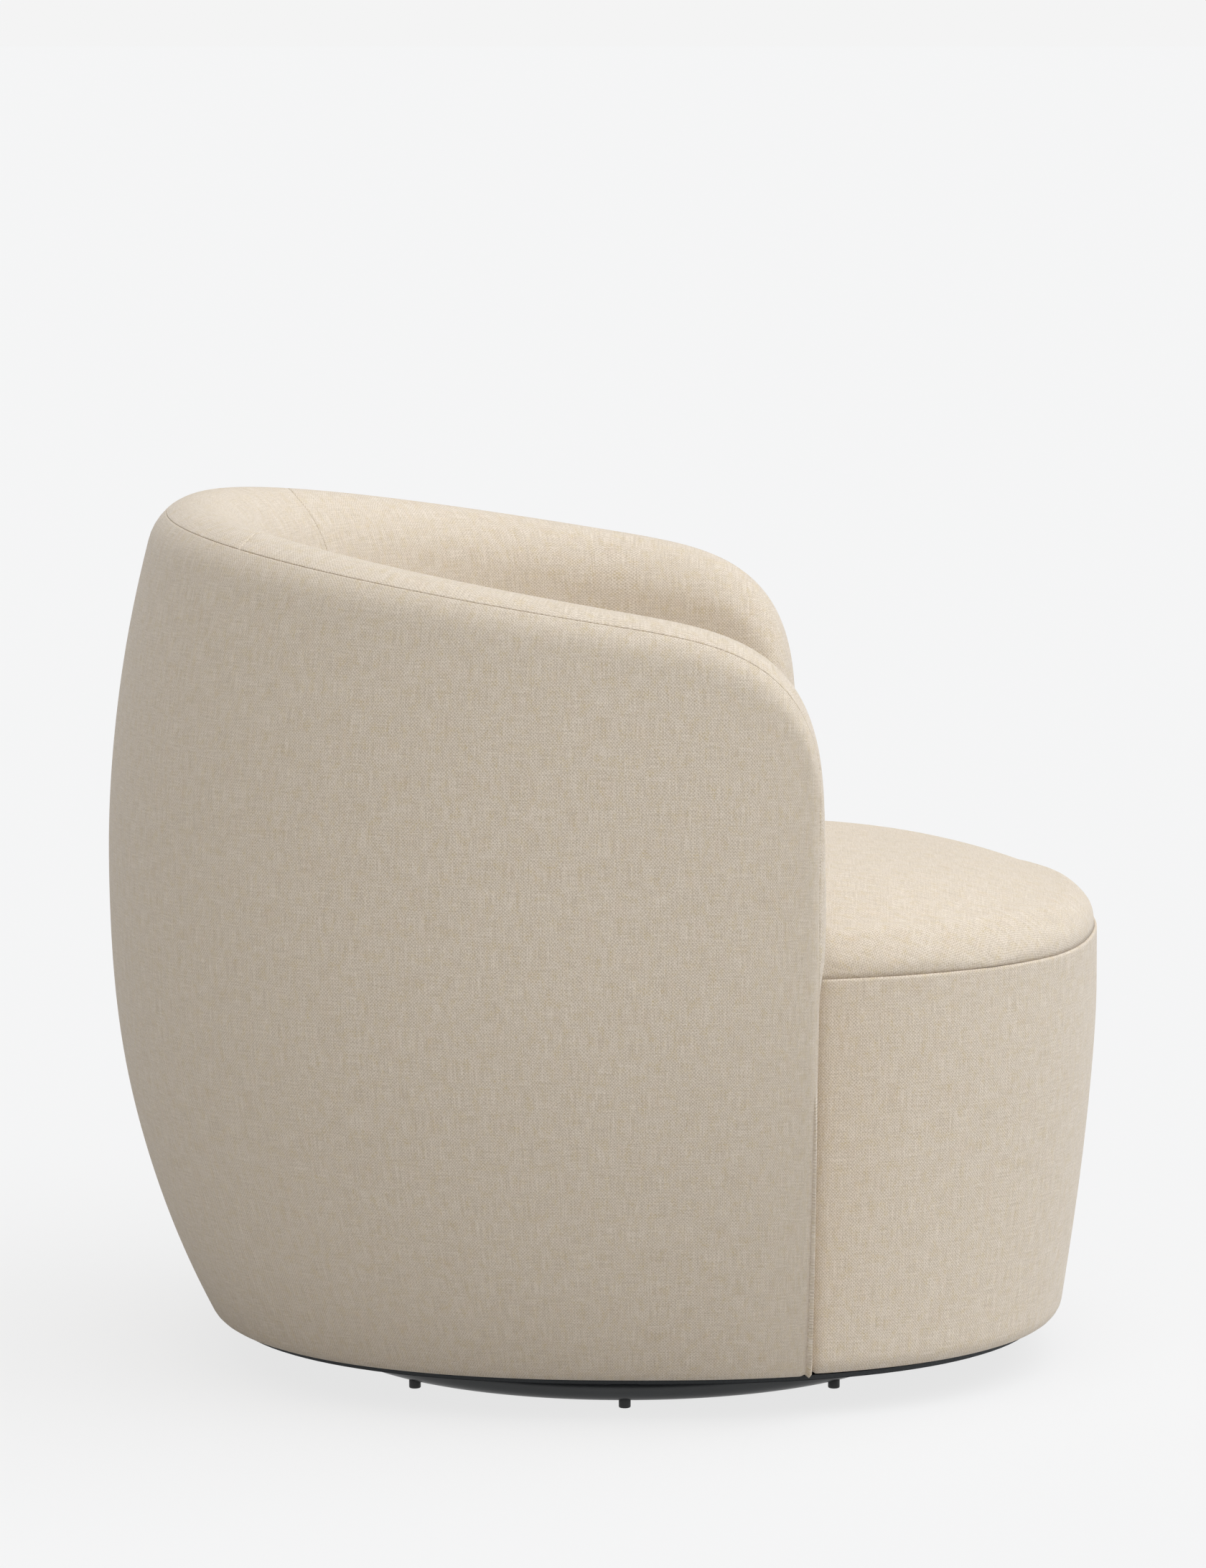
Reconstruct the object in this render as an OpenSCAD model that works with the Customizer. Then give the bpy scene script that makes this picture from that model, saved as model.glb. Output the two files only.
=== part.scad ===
// Swivel barrel chair. Millimetres, +Z up. The chair faces -Y and the swivel axis is the Z axis.
// Left and right are those of someone sitting in the chair, so the right arm is on the -X side.

/* [Foot outline] */
// How far the sides draw in from the belly to the bottom edge
side_draw_in = 105; // [95:1:115]
// How far the back draws in from the belly to the bottom edge
rear_draw_in = 85; // [75:1:95]
// How far the front of the seat draws in from its fullest height to the bottom edge
front_draw_in = 28; // [20:1:36]
// How far in front of the swivel axis the outline is widest
widest_line_forward = 12; // [4:1:20]
// Exponent of the rounded outlines, where 2 is an ellipse
outline_squareness = 2.3; // [2.1:0.05:2.6]
// Height of the bottom edge of the upholstery above the floor
bottom_edge_z = 34; // [33:0.5:40]
// Radius with which the covers turn in at the bottom edge
hem_radius = 9; // [7:1:13]

/* [Barrel shell] */
// Half width of the shell at its belly
belly_half_width = 405; // [395:1:420]
// How far the belly of the shell reaches behind the swivel axis
belly_rear_reach = 421; // [410:1:436]
// Height of the belly
belly_z = 409; // [380:1:440]
// Exponent of the flare from the bottom edge to the belly
flare_power = 2.3; // [2:0.05:2.7]
// How far the top of the back leans in from the belly
back_lean = 43; // [34:1:52]
// How far the sides would lean in at the height of the back's crown
side_lean = 20; // [10:1:28]
// Height of the crown at the middle of the back
crown_back_z = 707; // [690:1:725]
// Height of the crown on the arms, over the widest line
crown_arm_z = 645; // [625:1:655]
// Height of the rounded top of the shell
crown_dome = 32; // [28:1:36]
// Exponent of that rounded top, where 2 is an ellipse
crown_fullness = 2.3; // [2:0.1:2.6]
// Turn along the rounded top at which the outer seam runs
seam_turn = 44; // [36:1:52]
// How far the arm fronts reach in front of the swivel axis
arm_front_reach = 152; // [140:1:165]
// Length over which the crown rounds down at the arm fronts
arm_round_length = 92; // [80:1:110]
// Height over which the crown rounds down at the arm fronts
arm_round_height = 145; // [120:1:160]
// Radius of the outer edge of the arm fronts
outer_edge_radius = 12; // [9:1:16]
// Radius of the inner edge of the arm fronts
inner_edge_radius = 26; // [18:1:34]
// Distance of the arm front seam behind the arm front
front_seam_back = 4.4; // [3:0.2:6]

/* [Inside of the shell] */
// Thickness of the arms, from the belly to their inner faces
arm_thickness = 105; // [98:1:112]
// Thickness of the back, from the belly to its inner face at the crown
back_thickness = 129; // [120:1:138]
// How far that face comes forward on its way down to the seat
back_recline = 34; // [20:1:45]
// Height to which the inner covers are tucked in beside the seat
tuck_z = 332; // [326:1:338]

/* [Seat] */
// Gap between the seat and the inner faces of the arms
seat_side_gap = 3; // [1:0.5:6]
// How far the seat reaches in front of the swivel axis at its fullest height
seat_front_reach = 388; // [378:1:400]
// Height at which the seat's border is fullest
seat_full_z = 300; // [270:1:320]
// Height of the seam round the seat
seat_seam_z = 350; // [342:1:360]
// Height of the middle of the seat above the floor
seat_crown_z = 427; // [412:1:440]
// Exponent of the seat's crown
seat_crown_power = 2.8; // [2.4:0.1:3.2]
// Radius with which the seat border turns in at the bottom
seat_hem_radius = 14; // [11:1:17]
// Gap between the ends of the seat border and the arm fronts
border_gap = 1.2; // [0.6:0.2:3]
// Radius with which the ends of the seat border roll into that gap
border_end_radius = 8; // [5:1:12]

/* [Covers and padding] */
// Thickness of the covers with their wadding
cover_thickness = 4; // [3:0.5:5]
// Thickness of the pad on the front of the arm posts
arm_pad_thickness = 14; // [11:1:16]
// Thickness of the bent outer board
outer_board_thickness = 3; // [2.5:0.5:4]
// Clearance between the covers and the bent boards and pads inside them
board_clearance = 1.6; // [1.4:0.1:2]
// Clearance between layers that lie against each other
layer_clearance = 0.6; // [0.4:0.1:0.9]

/* [Timber frame] */
// Thickness of the base board
base_board_thickness = 12; // [10:1:16]
// How far the base board lies inside the turned-in edge of the covers
base_board_inset = 21; // [20:1:25]
// How far the underside of the base board is below that edge
base_board_drop = 0.6; // [0.4:0.1:1]
// Thickness of the ribs, posts' boards and seat ring
rib_thickness = 18; // [15:1:20]
// How much further in the ribs stand than the rail
rib_setback = 1.5; // [1.4:0.1:2]
// Depth of the ribs across the shell
rib_depth = 40; // [34:1:46]
// Clearance of the boards of the frame from the bent boards
frame_clearance = 1.2; // [1:0.1:1.6]
// Height of the top rail
top_rail_height = 24; // [18:1:28]
// Drop from the crown to the top of the top rail
top_rail_drop = 42; // [38:1:50]
// Height of the top of the seat ring
seat_ring_z = 318; // [314:1:320]
// Width of the seat ring
seat_ring_width = 62; // [56:1:70]
// Side of the seat posts
seat_post_side = 36; // [30:1:42]
// Distance of the middle of the seat posts inside the edge of the seat ring
seat_post_inset = 50; // [46:1:56]
// Thickness of the bent front former
former_thickness = 5; // [4:0.5:6]
// Width of a webbing strap
strap_width = 50; // [40:1:56]
// Thickness of a webbing strap
strap_thickness = 2; // [1.5:0.5:2.5]

/* [Underside] */
// Thickness of the dark bottom panel
bottom_panel_thickness = 3.4; // [3:0.2:3.8]
// How far the bottom panel lies inside the turned-in edge of the covers
bottom_panel_inset = 4; // [2:0.5:7]
// Thickness of the dust cover
dust_cover_thickness = 1.2; // [0.8:0.2:1.6]
// How far the dust cover lies inside that edge
dust_cover_inset = 7; // [5:0.5:9]
// Width of the notches at the sides of the dust cover
dust_cover_notch = 22; // [16:1:30]
// Radius of the round hole in the bottom panel and the dust cover
panel_hole_radius = 125; // [118:1:135]

/* [Base] */
// Radius of the base ring to the middle of its tube
ring_radius = 238; // [225:1:250]
// Radius of the tube
ring_tube_radius = 9.5; // [8.5:0.25:9.5]
// Wall of the tube
ring_tube_wall = 1.5; // [1.2:0.1:2]
// Height of the foot of a glide
glide_height = 6; // [5:0.5:6]
// Radius of the foot of a glide
glide_radius = 4.75; // [4:0.25:6]
// Radius of the stem of a glide
glide_stem_radius = 2.5; // [2:0.1:3]
// Number of glides
glide_count = 8; // [6:2:12]
// Width of the flat bars across the ring
bar_width = 42; // [36:1:50]
// Thickness of the flat bars
bar_thickness = 6; // [5:0.5:6.5]

/* [Swivel] */
// Radius of the swivel plates
plate_radius = 105; // [98:1:110]
// Thickness of the swivel plates
plate_thickness = 2; // [1.6:0.1:2.2]
// Radius of the ring of balls
race_radius = 62; // [55:1:66]
// Width of a race
race_width = 15; // [13:1:17]
// Radius of a bearing ball
ball_radius = 4; // [3.6:0.1:4.2]
// Number of bearing balls
ball_count = 24; // [16:1:28]
// Clearance round a ball
ball_clearance = 0.1; // [0.05:0.05:0.15]
// Radius of the pivot pin
pivot_radius = 5; // [4.5:0.1:5.5]
// Radius of the circle of bolts through each plate
bolt_circle_radius = 88; // [86:1:90]
// Number of bolts, and of screws, through each plate
bolt_count = 4; // [4:1:4]
// Radius of a bolt
bolt_radius = 3; // [2.5:0.25:3.25]
// Radius of a wood screw
screw_radius = 2.2; // [1.8:0.1:2.4]

/* [Hidden] */

// Colours of the materials
linen = "#d9cdb6";
foam_white = "#efe9d2";
birch = "#d8bd8f";
black_steel = "#26282a";
zinc = "#b9bcc0";

// The screws stand midway between the bolts
screw_turn = 180 / bolt_count;
// One overrun serves every cut
overrun = 1;
// Running clearance round the pivot pin
pivot_clearance = 0.06;
// Clearance of screws, bolts and stems in their holes
hole_clearance = 0.1;
// Gap between covers that are sewn together
seam_gap = 0.3;
// Root gap of the welds between the bars and the ring
weld_gap = 0.3;
// Gap between a turning part and the part it faces
turning_gap = 0.3;

// Heights of the layers under the seat, from the floor up
ring_z = glide_height + ring_tube_radius;
bar_bottom_z = ring_z - bar_thickness / 2;
bar_top_z = ring_z + bar_thickness / 2;
lower_plate_top_z = bar_top_z + plate_thickness;
base_board_z = bottom_edge_z - base_board_drop;
base_board_top_z = base_board_z + base_board_thickness;
upper_plate_z = base_board_z - plate_thickness;
bottom_panel_z = base_board_z - bottom_panel_thickness;
ball_z = (lower_plate_top_z + upper_plate_z) / 2;

foot_half_width = belly_half_width - side_draw_in;
foot_rear_reach = belly_rear_reach - rear_draw_in;
foot_front_reach = seat_front_reach - front_draw_in;
inner_half_width = belly_half_width - arm_thickness;
inner_rear_reach = belly_rear_reach - back_thickness;
seat_half_width = inner_half_width - seat_side_gap;

// The arms run forward from the widest line
arm_length = arm_front_reach - widest_line_forward;
shell_growth = belly_rear_reach - foot_rear_reach;

function mix(a, b, share) = a + (b - a) * share;
function power(value, exponent) = sign(value) * pow(abs(value), exponent);

// Corner of a rounded edge: how far a surface is drawn in at a distance before its end
function rolled_in(distance, radius) =
    distance < radius ? radius - sqrt(max(0, radius * radius - pow(radius - distance, 2))) : 0;

// Share of the flare reached at a height, and of the lean above the belly
function flare(z) = 1 - pow(max(0, belly_z - z) / (belly_z - bottom_edge_z), flare_power);
function lean(z) = pow(max(0, z - belly_z) / (crown_back_z - belly_z), 2);

// Semi-axes of the shell's outer outline at a height: half width, rear, front
function shell_axes(z) =
    let (hem = rolled_in(max(0, z - bottom_edge_z), hem_radius))
    [mix(foot_half_width, belly_half_width, flare(z)) - side_lean * lean(z) - hem,
     foot_rear_reach + widest_line_forward + shell_growth * flare(z) - back_lean * lean(z) - hem,
     foot_front_reach - widest_line_forward + shell_growth * flare(z) - hem];

// Semi-axes of the inner face of the shell at a height
function inner_axes(z) =
    [inner_half_width,
     inner_rear_reach + widest_line_forward - back_recline * (crown_back_z - z) / (crown_back_z - tuck_z),
     foot_front_reach - widest_line_forward + shell_growth];

// A station tells how far round the shell a section is: 0 at the middle of the back, 1 at the
// widest line, 2 at the arm front. Inner layers end a depth behind the arm front.
function forward(station, depth) = max(0, station - 1) * (arm_length - depth);
function plan_turn(station, depth, front_axis) = station <= 1 ? 90 * (1 - station)
    : -asin(pow(forward(station, depth) / front_axis, outline_squareness / 2));
function plan_point(side, turn, axes) =
    [side * axes[0] * power(cos(turn), 2 / outline_squareness),
     (sin(turn) < 0 ? axes[2] : axes[1]) * power(sin(turn), 2 / outline_squareness) - widest_line_forward];

// Point of the shell: across is 0 on its outer face and 1 on its inner face
function shell_point(station, z, across, depth) =
    let (to_end = arm_length - depth - forward(abs(station), depth),
         outer = depth + rolled_in(to_end, max(0, outer_edge_radius - depth)),
         inner = depth + rolled_in(to_end, max(0, inner_edge_radius - depth)),
         axes = [for (i = [0:2]) mix(shell_axes(z)[i] - outer, inner_axes(z)[i] + inner, across)],
         place = plan_point(sign(station), plan_turn(abs(station), depth, axes[2]), axes))
    [place[0], place[1], z];

// Height of the crown at a station: a straight slope that rounds down at the arm front
crown_rear_axis = (shell_axes(crown_back_z)[1] + inner_axes(crown_back_z)[1]) / 2;
function crown_run(station) = abs(station) <= 1
    ? crown_rear_axis * power(cos(90 * abs(station)), 2 / outline_squareness)
    : -forward(abs(station), 0);
function crown_share(station) =
    max(0, forward(abs(station), 0) + arm_round_length - arm_length) / arm_round_length;
function crown_z(station) = crown_arm_z
    + (crown_back_z - crown_arm_z) * crown_run(station) / crown_rear_axis
    - arm_round_height
        * (1 - pow(1 - pow(crown_share(station), outline_squareness), 1 / outline_squareness));
function spring_z(station) = crown_z(station) - crown_dome;

// Point on the rounded top of the shell, from turn 0 on its outer face to 180 on its inner face
function crown_point(station, turn, depth) =
    shell_point(station, spring_z(station) + (crown_dome - depth) * power(sin(turn), 2 / crown_fullness),
        (1 - power(cos(turn), 2 / crown_fullness)) / 2, depth);

// Semi-axes of the seat at a height
function seat_front(z) = z > seat_full_z ? seat_front_reach
    : mix(seat_front_reach, foot_front_reach, pow((seat_full_z - z) / (seat_full_z - bottom_edge_z), 1.5));
function seat_axes(z) =
    let (hem = rolled_in(max(0, z - bottom_edge_z), seat_hem_radius))
    [seat_half_width - hem,
     inner_axes(seat_seam_z)[1] - layer_clearance - hem,
     seat_front(z) - widest_line_forward - hem];
function seat_point(turn, z, depth) =
    concat(plan_point(1, turn, seat_axes(z) - [depth, depth, depth]), z);

// Closed solid between an outer and an inner grid of points, as a cover between its two faces.
// The first rows may lack their first columns. With a cap, the last row is closed by a flat face,
// which goes on over the cap's own points.
module sheet(outer, inner, short_rows = 0, short_columns = 0, cap = []) {
    rows = len(outer);
    columns = len(outer[0]);
    last = rows - 1;
    grid_end = 2 * rows * columns;
    cap_count = len(cap) == 0 ? 0 : len(cap[0]);
    function index(i, j, layer) = (layer * rows + i) * columns + j;
    function first(i) = i < short_rows ? short_columns : 0;
    function rim(k, layer) = k < columns ? index(last, k, layer)
        : k < columns + cap_count ? grid_end + layer * cap_count + k - columns : index(last, 0, layer);
    function quad(a, b, c, d) = [[a, c, b], [a, d, c]];
    function edge(i, j, k, m) = quad(index(i, j, 0), index(k, m, 0), index(k, m, 1), index(i, j, 1));
    faces = concat(
        [for (i = [0:last - 1]) for (j = [first(i):columns - 2])
            each quad(index(i, j, 0), index(i, j + 1, 0), index(i + 1, j + 1, 0), index(i + 1, j, 0))],
        [for (i = [0:last - 1]) for (j = [first(i):columns - 2])
            each quad(index(i + 1, j, 1), index(i + 1, j + 1, 1), index(i, j + 1, 1), index(i, j, 1))],
        [for (j = [first(0):columns - 2]) each edge(0, j + 1, 0, j)],
        [for (i = [0:last - 1]) each edge(i, first(i), i + 1, first(i))],
        [for (j = [0:1:short_columns - 1]) each edge(short_rows, j + 1, short_rows, j)],
        [for (i = [0:last - 1]) each edge(i + 1, columns - 1, i, columns - 1)],
        cap_count == 0 ? [for (j = [0:columns - 2]) each edge(last, j, last, j + 1)]
            : concat([[for (k = [columns + cap_count - 1:-1:0]) rim(k, 0)]],
                [[for (k = [0:columns + cap_count - 1]) rim(k, 1)]],
                [for (k = [columns - 1:columns + cap_count - 1])
                    each quad(rim(k + 1, 0), rim(k, 0), rim(k, 1), rim(k + 1, 1))]));
    polyhedron(points = concat([for (row = outer) each row], [for (row = inner) each row],
        [for (layer = cap) each layer]), faces = faces);
}

// Closed solid through a list of sections, each the same closed loop of points
module loft(sections) {
    rows = len(sections);
    count = len(sections[0]);
    faces = concat(
        [[for (j = [0:count - 1]) j]],
        [for (i = [0:rows - 2]) for (j = [0:count - 1])
            each [[i * count + j, (i + 1) * count + j, (i + 1) * count + (j + 1) % count],
                  [i * count + j, (i + 1) * count + (j + 1) % count, i * count + (j + 1) % count]]],
        [[for (j = [count - 1:-1:0]) (rows - 1) * count + j]]);
    polyhedron(points = [for (section = sections) each section], faces = faces);
}

// Flat board with a rounded outline
outline_turns = [0:3:357];
module board(axes, thickness) {
    linear_extrude(thickness)
        polygon([for (turn = outline_turns) plan_point(1, turn, axes)]);
}

module around(count, radius, start = 0) {
    for (i = [0:count - 1])
        rotate(start + i * 360 / count)
            translate([radius, 0, 0])
                children();
}

// Base: steel ring, cross and glides

module base_ring() {
    color(black_steel)
        difference() {
            translate([0, 0, ring_z])
                rotate_extrude($fn = 120)
                    translate([ring_radius, 0])
                        difference() {
                            circle(ring_tube_radius, $fn = 32);
                            circle(ring_tube_radius - ring_tube_wall, $fn = 32);
                        }
            around(glide_count, ring_radius)
                cylinder(h = ring_z, r = glide_stem_radius + hole_clearance, $fn = 24);
        }
}

module base_cross() {
    reach = ring_radius - ring_tube_radius - weld_gap;
    color(black_steel)
        difference() {
            intersection() {
                for (turn = [0, 90])
                    rotate(turn)
                        translate([-ring_radius, -bar_width / 2, bar_bottom_z])
                            cube([2 * ring_radius, bar_width, bar_thickness]);
                translate([0, 0, bar_bottom_z - overrun])
                    cylinder(h = bar_thickness + 2 * overrun, r = reach, $fn = 120);
            }
            translate([0, 0, bar_bottom_z - overrun]) {
                cylinder(h = bar_thickness + 2 * overrun, r = pivot_radius + hole_clearance, $fn = 48);
                around(bolt_count, bolt_circle_radius)
                    cylinder(h = bar_thickness + 2 * overrun, r = bolt_radius + hole_clearance, $fn = 32);
            }
        }
}

module base_glides() {
    color("#1c1c1d")
        around(glide_count, ring_radius) {
            cylinder(h = glide_height, r = glide_radius, $fn = 32);
            cylinder(h = ring_z, r = glide_stem_radius, $fn = 24);
        }
}

// Swivel: two plates with ball races round a pivot pin

module race_groove() {
    translate([0, 0, ball_z])
        rotate_extrude($fn = 96)
            translate([race_radius, 0])
                circle(ball_radius + ball_clearance, $fn = 48);
}

module race_ring(z, height) {
    translate([0, 0, z])
        difference() {
            cylinder(h = height, r = race_radius + race_width / 2, $fn = 96);
            translate([0, 0, -overrun])
                cylinder(h = height + 2 * overrun, r = race_radius - race_width / 2, $fn = 96);
        }
}

// The races stop short of the middle of the balls, where the cage runs
race_stop = ball_radius / 4;

module swivel_lower_plate() {
    color(zinc)
        difference() {
            union() {
                translate([0, 0, bar_top_z])
                    cylinder(h = plate_thickness, r = plate_radius, $fn = 96);
                race_ring(bar_top_z, ball_z - race_stop - bar_top_z);
            }
            race_groove();
            translate([0, 0, bar_top_z - overrun]) {
                cylinder(h = plate_thickness + 2 * overrun, r = pivot_radius + hole_clearance, $fn = 48);
                around(bolt_count, bolt_circle_radius)
                    cylinder(h = plate_thickness + 2 * overrun, r = bolt_radius + hole_clearance, $fn = 32);
            }
        }
}

module swivel_upper_plate() {
    color(zinc)
        difference() {
            union() {
                translate([0, 0, upper_plate_z])
                    cylinder(h = plate_thickness, r = plate_radius, $fn = 96);
                race_ring(ball_z + race_stop, base_board_z - ball_z - race_stop);
            }
            race_groove();
            translate([0, 0, upper_plate_z - overrun]) {
                cylinder(h = plate_thickness + 2 * overrun, r = pivot_radius + pivot_clearance, $fn = 48);
                around(bolt_count, bolt_circle_radius, screw_turn)
                    cylinder(h = plate_thickness + 2 * overrun, r = screw_radius + hole_clearance, $fn = 32);
            }
        }
}

module swivel_balls() {
    color(zinc)
        translate([0, 0, ball_z])
            around(ball_count, race_radius)
                sphere(ball_radius, $fn = 32);
}

module swivel_ball_cage() {
    cage_thickness = race_stop;
    color("#c9a24b")
        translate([0, 0, ball_z - cage_thickness / 2])
            difference() {
                cylinder(h = cage_thickness, r = race_radius + race_width / 2, $fn = 96);
                translate([0, 0, -overrun]) {
                    cylinder(h = cage_thickness + 2 * overrun, r = race_radius - race_width / 2, $fn = 96);
                    around(ball_count, race_radius)
                        cylinder(h = cage_thickness + 2 * overrun, r = ball_radius + ball_clearance,
                            $fn = 32);
                }
            }
}

pivot_head_height = 3;
pivot_washer_height = 2;
pivot_nut_height = 6;
pivot_nut_radius = 10;
board_hole_radius = 18;
washer_z = base_board_z + turning_gap;
nut_top_z = washer_z + pivot_washer_height + pivot_nut_height;

module pivot_pin() {
    color(zinc) {
        translate([0, 0, bar_bottom_z - pivot_head_height])
            cylinder(h = pivot_head_height, r = 2 * pivot_radius, $fn = 48);
        translate([0, 0, bar_bottom_z - pivot_head_height])
            cylinder(h = nut_top_z + pivot_head_height - bar_bottom_z, r = pivot_radius, $fn = 48);
    }
}

module pivot_washer() {
    color(zinc)
        translate([0, 0, washer_z])
            difference() {
                cylinder(h = pivot_washer_height, r = pivot_nut_radius + pivot_washer_height, $fn = 48);
                translate([0, 0, -overrun])
                    cylinder(h = pivot_washer_height + 2 * overrun, r = pivot_radius + hole_clearance,
                        $fn = 48);
            }
}

module pivot_lock_nut() {
    color(zinc)
        translate([0, 0, washer_z + pivot_washer_height])
            difference() {
                cylinder(h = pivot_nut_height - turning_gap, r = pivot_nut_radius, $fn = 6);
                translate([0, 0, -overrun])
                    cylinder(h = pivot_nut_height + 2 * overrun, r = pivot_radius + hole_clearance,
                        $fn = 48);
            }
}

bolt_head_height = 3;
nut_height = 4.5;
screw_head_height = 1.8;
screw_length = base_board_thickness - plate_thickness;

module lower_plate_bolts() {
    color(zinc)
        around(bolt_count, bolt_circle_radius) {
            translate([0, 0, bar_bottom_z - bolt_head_height])
                cylinder(h = bolt_head_height, r = 2 * bolt_radius, $fn = 32);
            translate([0, 0, bar_bottom_z - bolt_head_height])
                cylinder(h = lower_plate_top_z + nut_height + bolt_head_height - bar_bottom_z,
                    r = bolt_radius, $fn = 32);
        }
}

module lower_plate_nuts() {
    color(zinc)
        around(bolt_count, bolt_circle_radius)
            translate([0, 0, lower_plate_top_z])
                difference() {
                    cylinder(h = nut_height - turning_gap, r = 2 * bolt_radius, $fn = 6);
                    translate([0, 0, -overrun])
                        cylinder(h = nut_height + 2 * overrun, r = bolt_radius + hole_clearance, $fn = 32);
                }
}

module upper_plate_screws() {
    color(zinc)
        around(bolt_count, bolt_circle_radius, screw_turn)
            translate([0, 0, upper_plate_z - screw_head_height]) {
                cylinder(h = screw_head_height, r = 2 * screw_radius, $fn = 32);
                cylinder(h = screw_head_height + plate_thickness + screw_length, r = screw_radius, $fn = 32);
            }
}

// Underside and base board

// Outline of the turned-in edge of the covers, drawn in by an inset
function under_axes(inset) =
    [shell_axes(bottom_edge_z)[0] - inset, shell_axes(bottom_edge_z)[1] - inset,
     seat_axes(bottom_edge_z)[2] - inset];

module base_board() {
    color(birch)
        translate([0, 0, base_board_z])
            difference() {
                board(under_axes(base_board_inset), base_board_thickness);
                translate([0, 0, -overrun]) {
                    cylinder(h = base_board_thickness + 2 * overrun, r = board_hole_radius, $fn = 48);
                    around(bolt_count, bolt_circle_radius, screw_turn)
                        cylinder(h = overrun + screw_length + hole_clearance,
                            r = screw_radius + hole_clearance, $fn = 32);
                }
            }
}

module bottom_panel() {
    color("#2b3038")
        translate([0, 0, bottom_panel_z])
            difference() {
                board(under_axes(bottom_panel_inset), bottom_panel_thickness);
                translate([0, 0, -overrun])
                    cylinder(h = bottom_panel_thickness + 2 * overrun, r = panel_hole_radius, $fn = 96);
            }
}

module dust_cover() {
    notch_depth = dust_cover_notch / 2;
    side_edge = under_axes(dust_cover_inset)[0];
    color("#1f2022")
        translate([0, 0, bottom_panel_z - dust_cover_thickness])
            difference() {
                board(under_axes(dust_cover_inset), dust_cover_thickness);
                translate([0, 0, -overrun])
                    cylinder(h = dust_cover_thickness + 2 * overrun, r = panel_hole_radius, $fn = 96);
                for (side = [-1, 1])
                    translate([side * side_edge - notch_depth, -dust_cover_notch / 2, -overrun])
                        cube([2 * notch_depth, dust_cover_notch, dust_cover_thickness + 2 * overrun]);
            }
}

// Stations of the layers, from the middle of the back to the widest line and on to the arm front
quarter_shares = [0, 0.08, 0.16, 0.24, 0.32, 0.36, 0.4, 0.5, 0.63, 0.72, 0.82, 0.91, 1];
arm_shares = [0.2, 0.4, 0.55, 0.7, 0.8];
edge_shares = [0.35, 0.65, 0.85, 1];
back_seam = 6;
seam_station = 1 + (arm_length - front_seam_back) / arm_length;
half_stations = concat(quarter_shares, [for (share = arm_shares) 1 + share]);
back_half = [for (i = [0:back_seam]) quarter_shares[i]];
back_stations = both_sides(back_half);
cover_stations = concat(half_stations,
    [for (share = edge_shares) mix(1 + arm_shares[4], seam_station, share)]);
hem_shares = [0, 0.12, 0.4, 1];
rise_shares = [0.1, 0.22, 0.36, 0.52, 0.68, 0.84, 1];
hem_top_z = bottom_edge_z + hem_radius;
// Heights at which the shell's layers share their sections
function wall_levels(station) = [for (share = rise_shares) mix(hem_top_z, spring_z(station), share)];
function both_sides(half) = concat([for (i = [len(half) - 1:-1:1]) -half[i]], half);
function reversed(list) = [for (i = [len(list) - 1:-1:0]) list[i]];
function ended(list, gap) = [for (i = [0:len(list) - 1]) i < len(list) - 1 ? list[i] : list[i] - gap];
function part_of(list, start) = [for (i = [start:len(list) - 1]) list[i]];

// Frame of the shell

board_depth = cover_thickness + board_clearance;
frame_depth = board_depth + outer_board_thickness + frame_clearance;
rib_stations = [quarter_shares[4], quarter_shares[8], quarter_shares[12]];
rail_bottom_drop = top_rail_drop + top_rail_height;

// Distance from the widest line's middle to an outline in a direction
function outline_radius(direction, axes) =
    pow(pow(abs(cos(direction)) / axes[0], outline_squareness)
        + pow(abs(sin(direction)) / axes[1], outline_squareness), -1 / outline_squareness);

// A rib stands in an upright plane through the middle and follows the flare of the shell
module rib(station) {
    place = shell_point(station, belly_z, 0, 0);
    direction = atan2(place[1] + widest_line_forward, place[0]);
    top = crown_z(station) - rail_bottom_drop - layer_clearance - rib_thickness / 8;
    heights = concat([base_board_top_z], [for (z = wall_levels(station)) if (z < top) z], [top]);
    inset = frame_depth + rib_setback;
    edge = [for (z = heights) [outline_radius(direction, shell_axes(z) - [inset, inset, inset]), z]];
    translate([0, -widest_line_forward, 0])
        rotate([90, 0, direction])
            translate([0, 0, -rib_thickness / 2])
                linear_extrude(rib_thickness)
                    polygon(concat(edge, [for (i = [len(edge) - 1:-1:0]) edge[i] - [rib_depth, 0]]));
}

module shell_ribs() {
    color(birch) {
        rib(0);
        for (side = [-1, 1])
            for (station = rib_stations)
                rib(side * station);
    }
}

// Boards that carry the shell: arm posts, top rail, outer board

// Half width of an outline on a line a run in front of the widest line
function half_width_at(axes, run) =
    axes[0] * pow(1 - pow(run / axes[2], outline_squareness), 1 / outline_squareness);

function ring_axes(inset) =
    let (edge = board_depth + former_thickness + frame_clearance + inset)
    seat_axes(seat_ring_z) - [edge, edge, edge];

post_front_reach = arm_front_reach - board_depth - arm_pad_thickness - layer_clearance;
post_run = post_front_reach - widest_line_forward;
post_station = 1 + post_run / arm_length;

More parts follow.
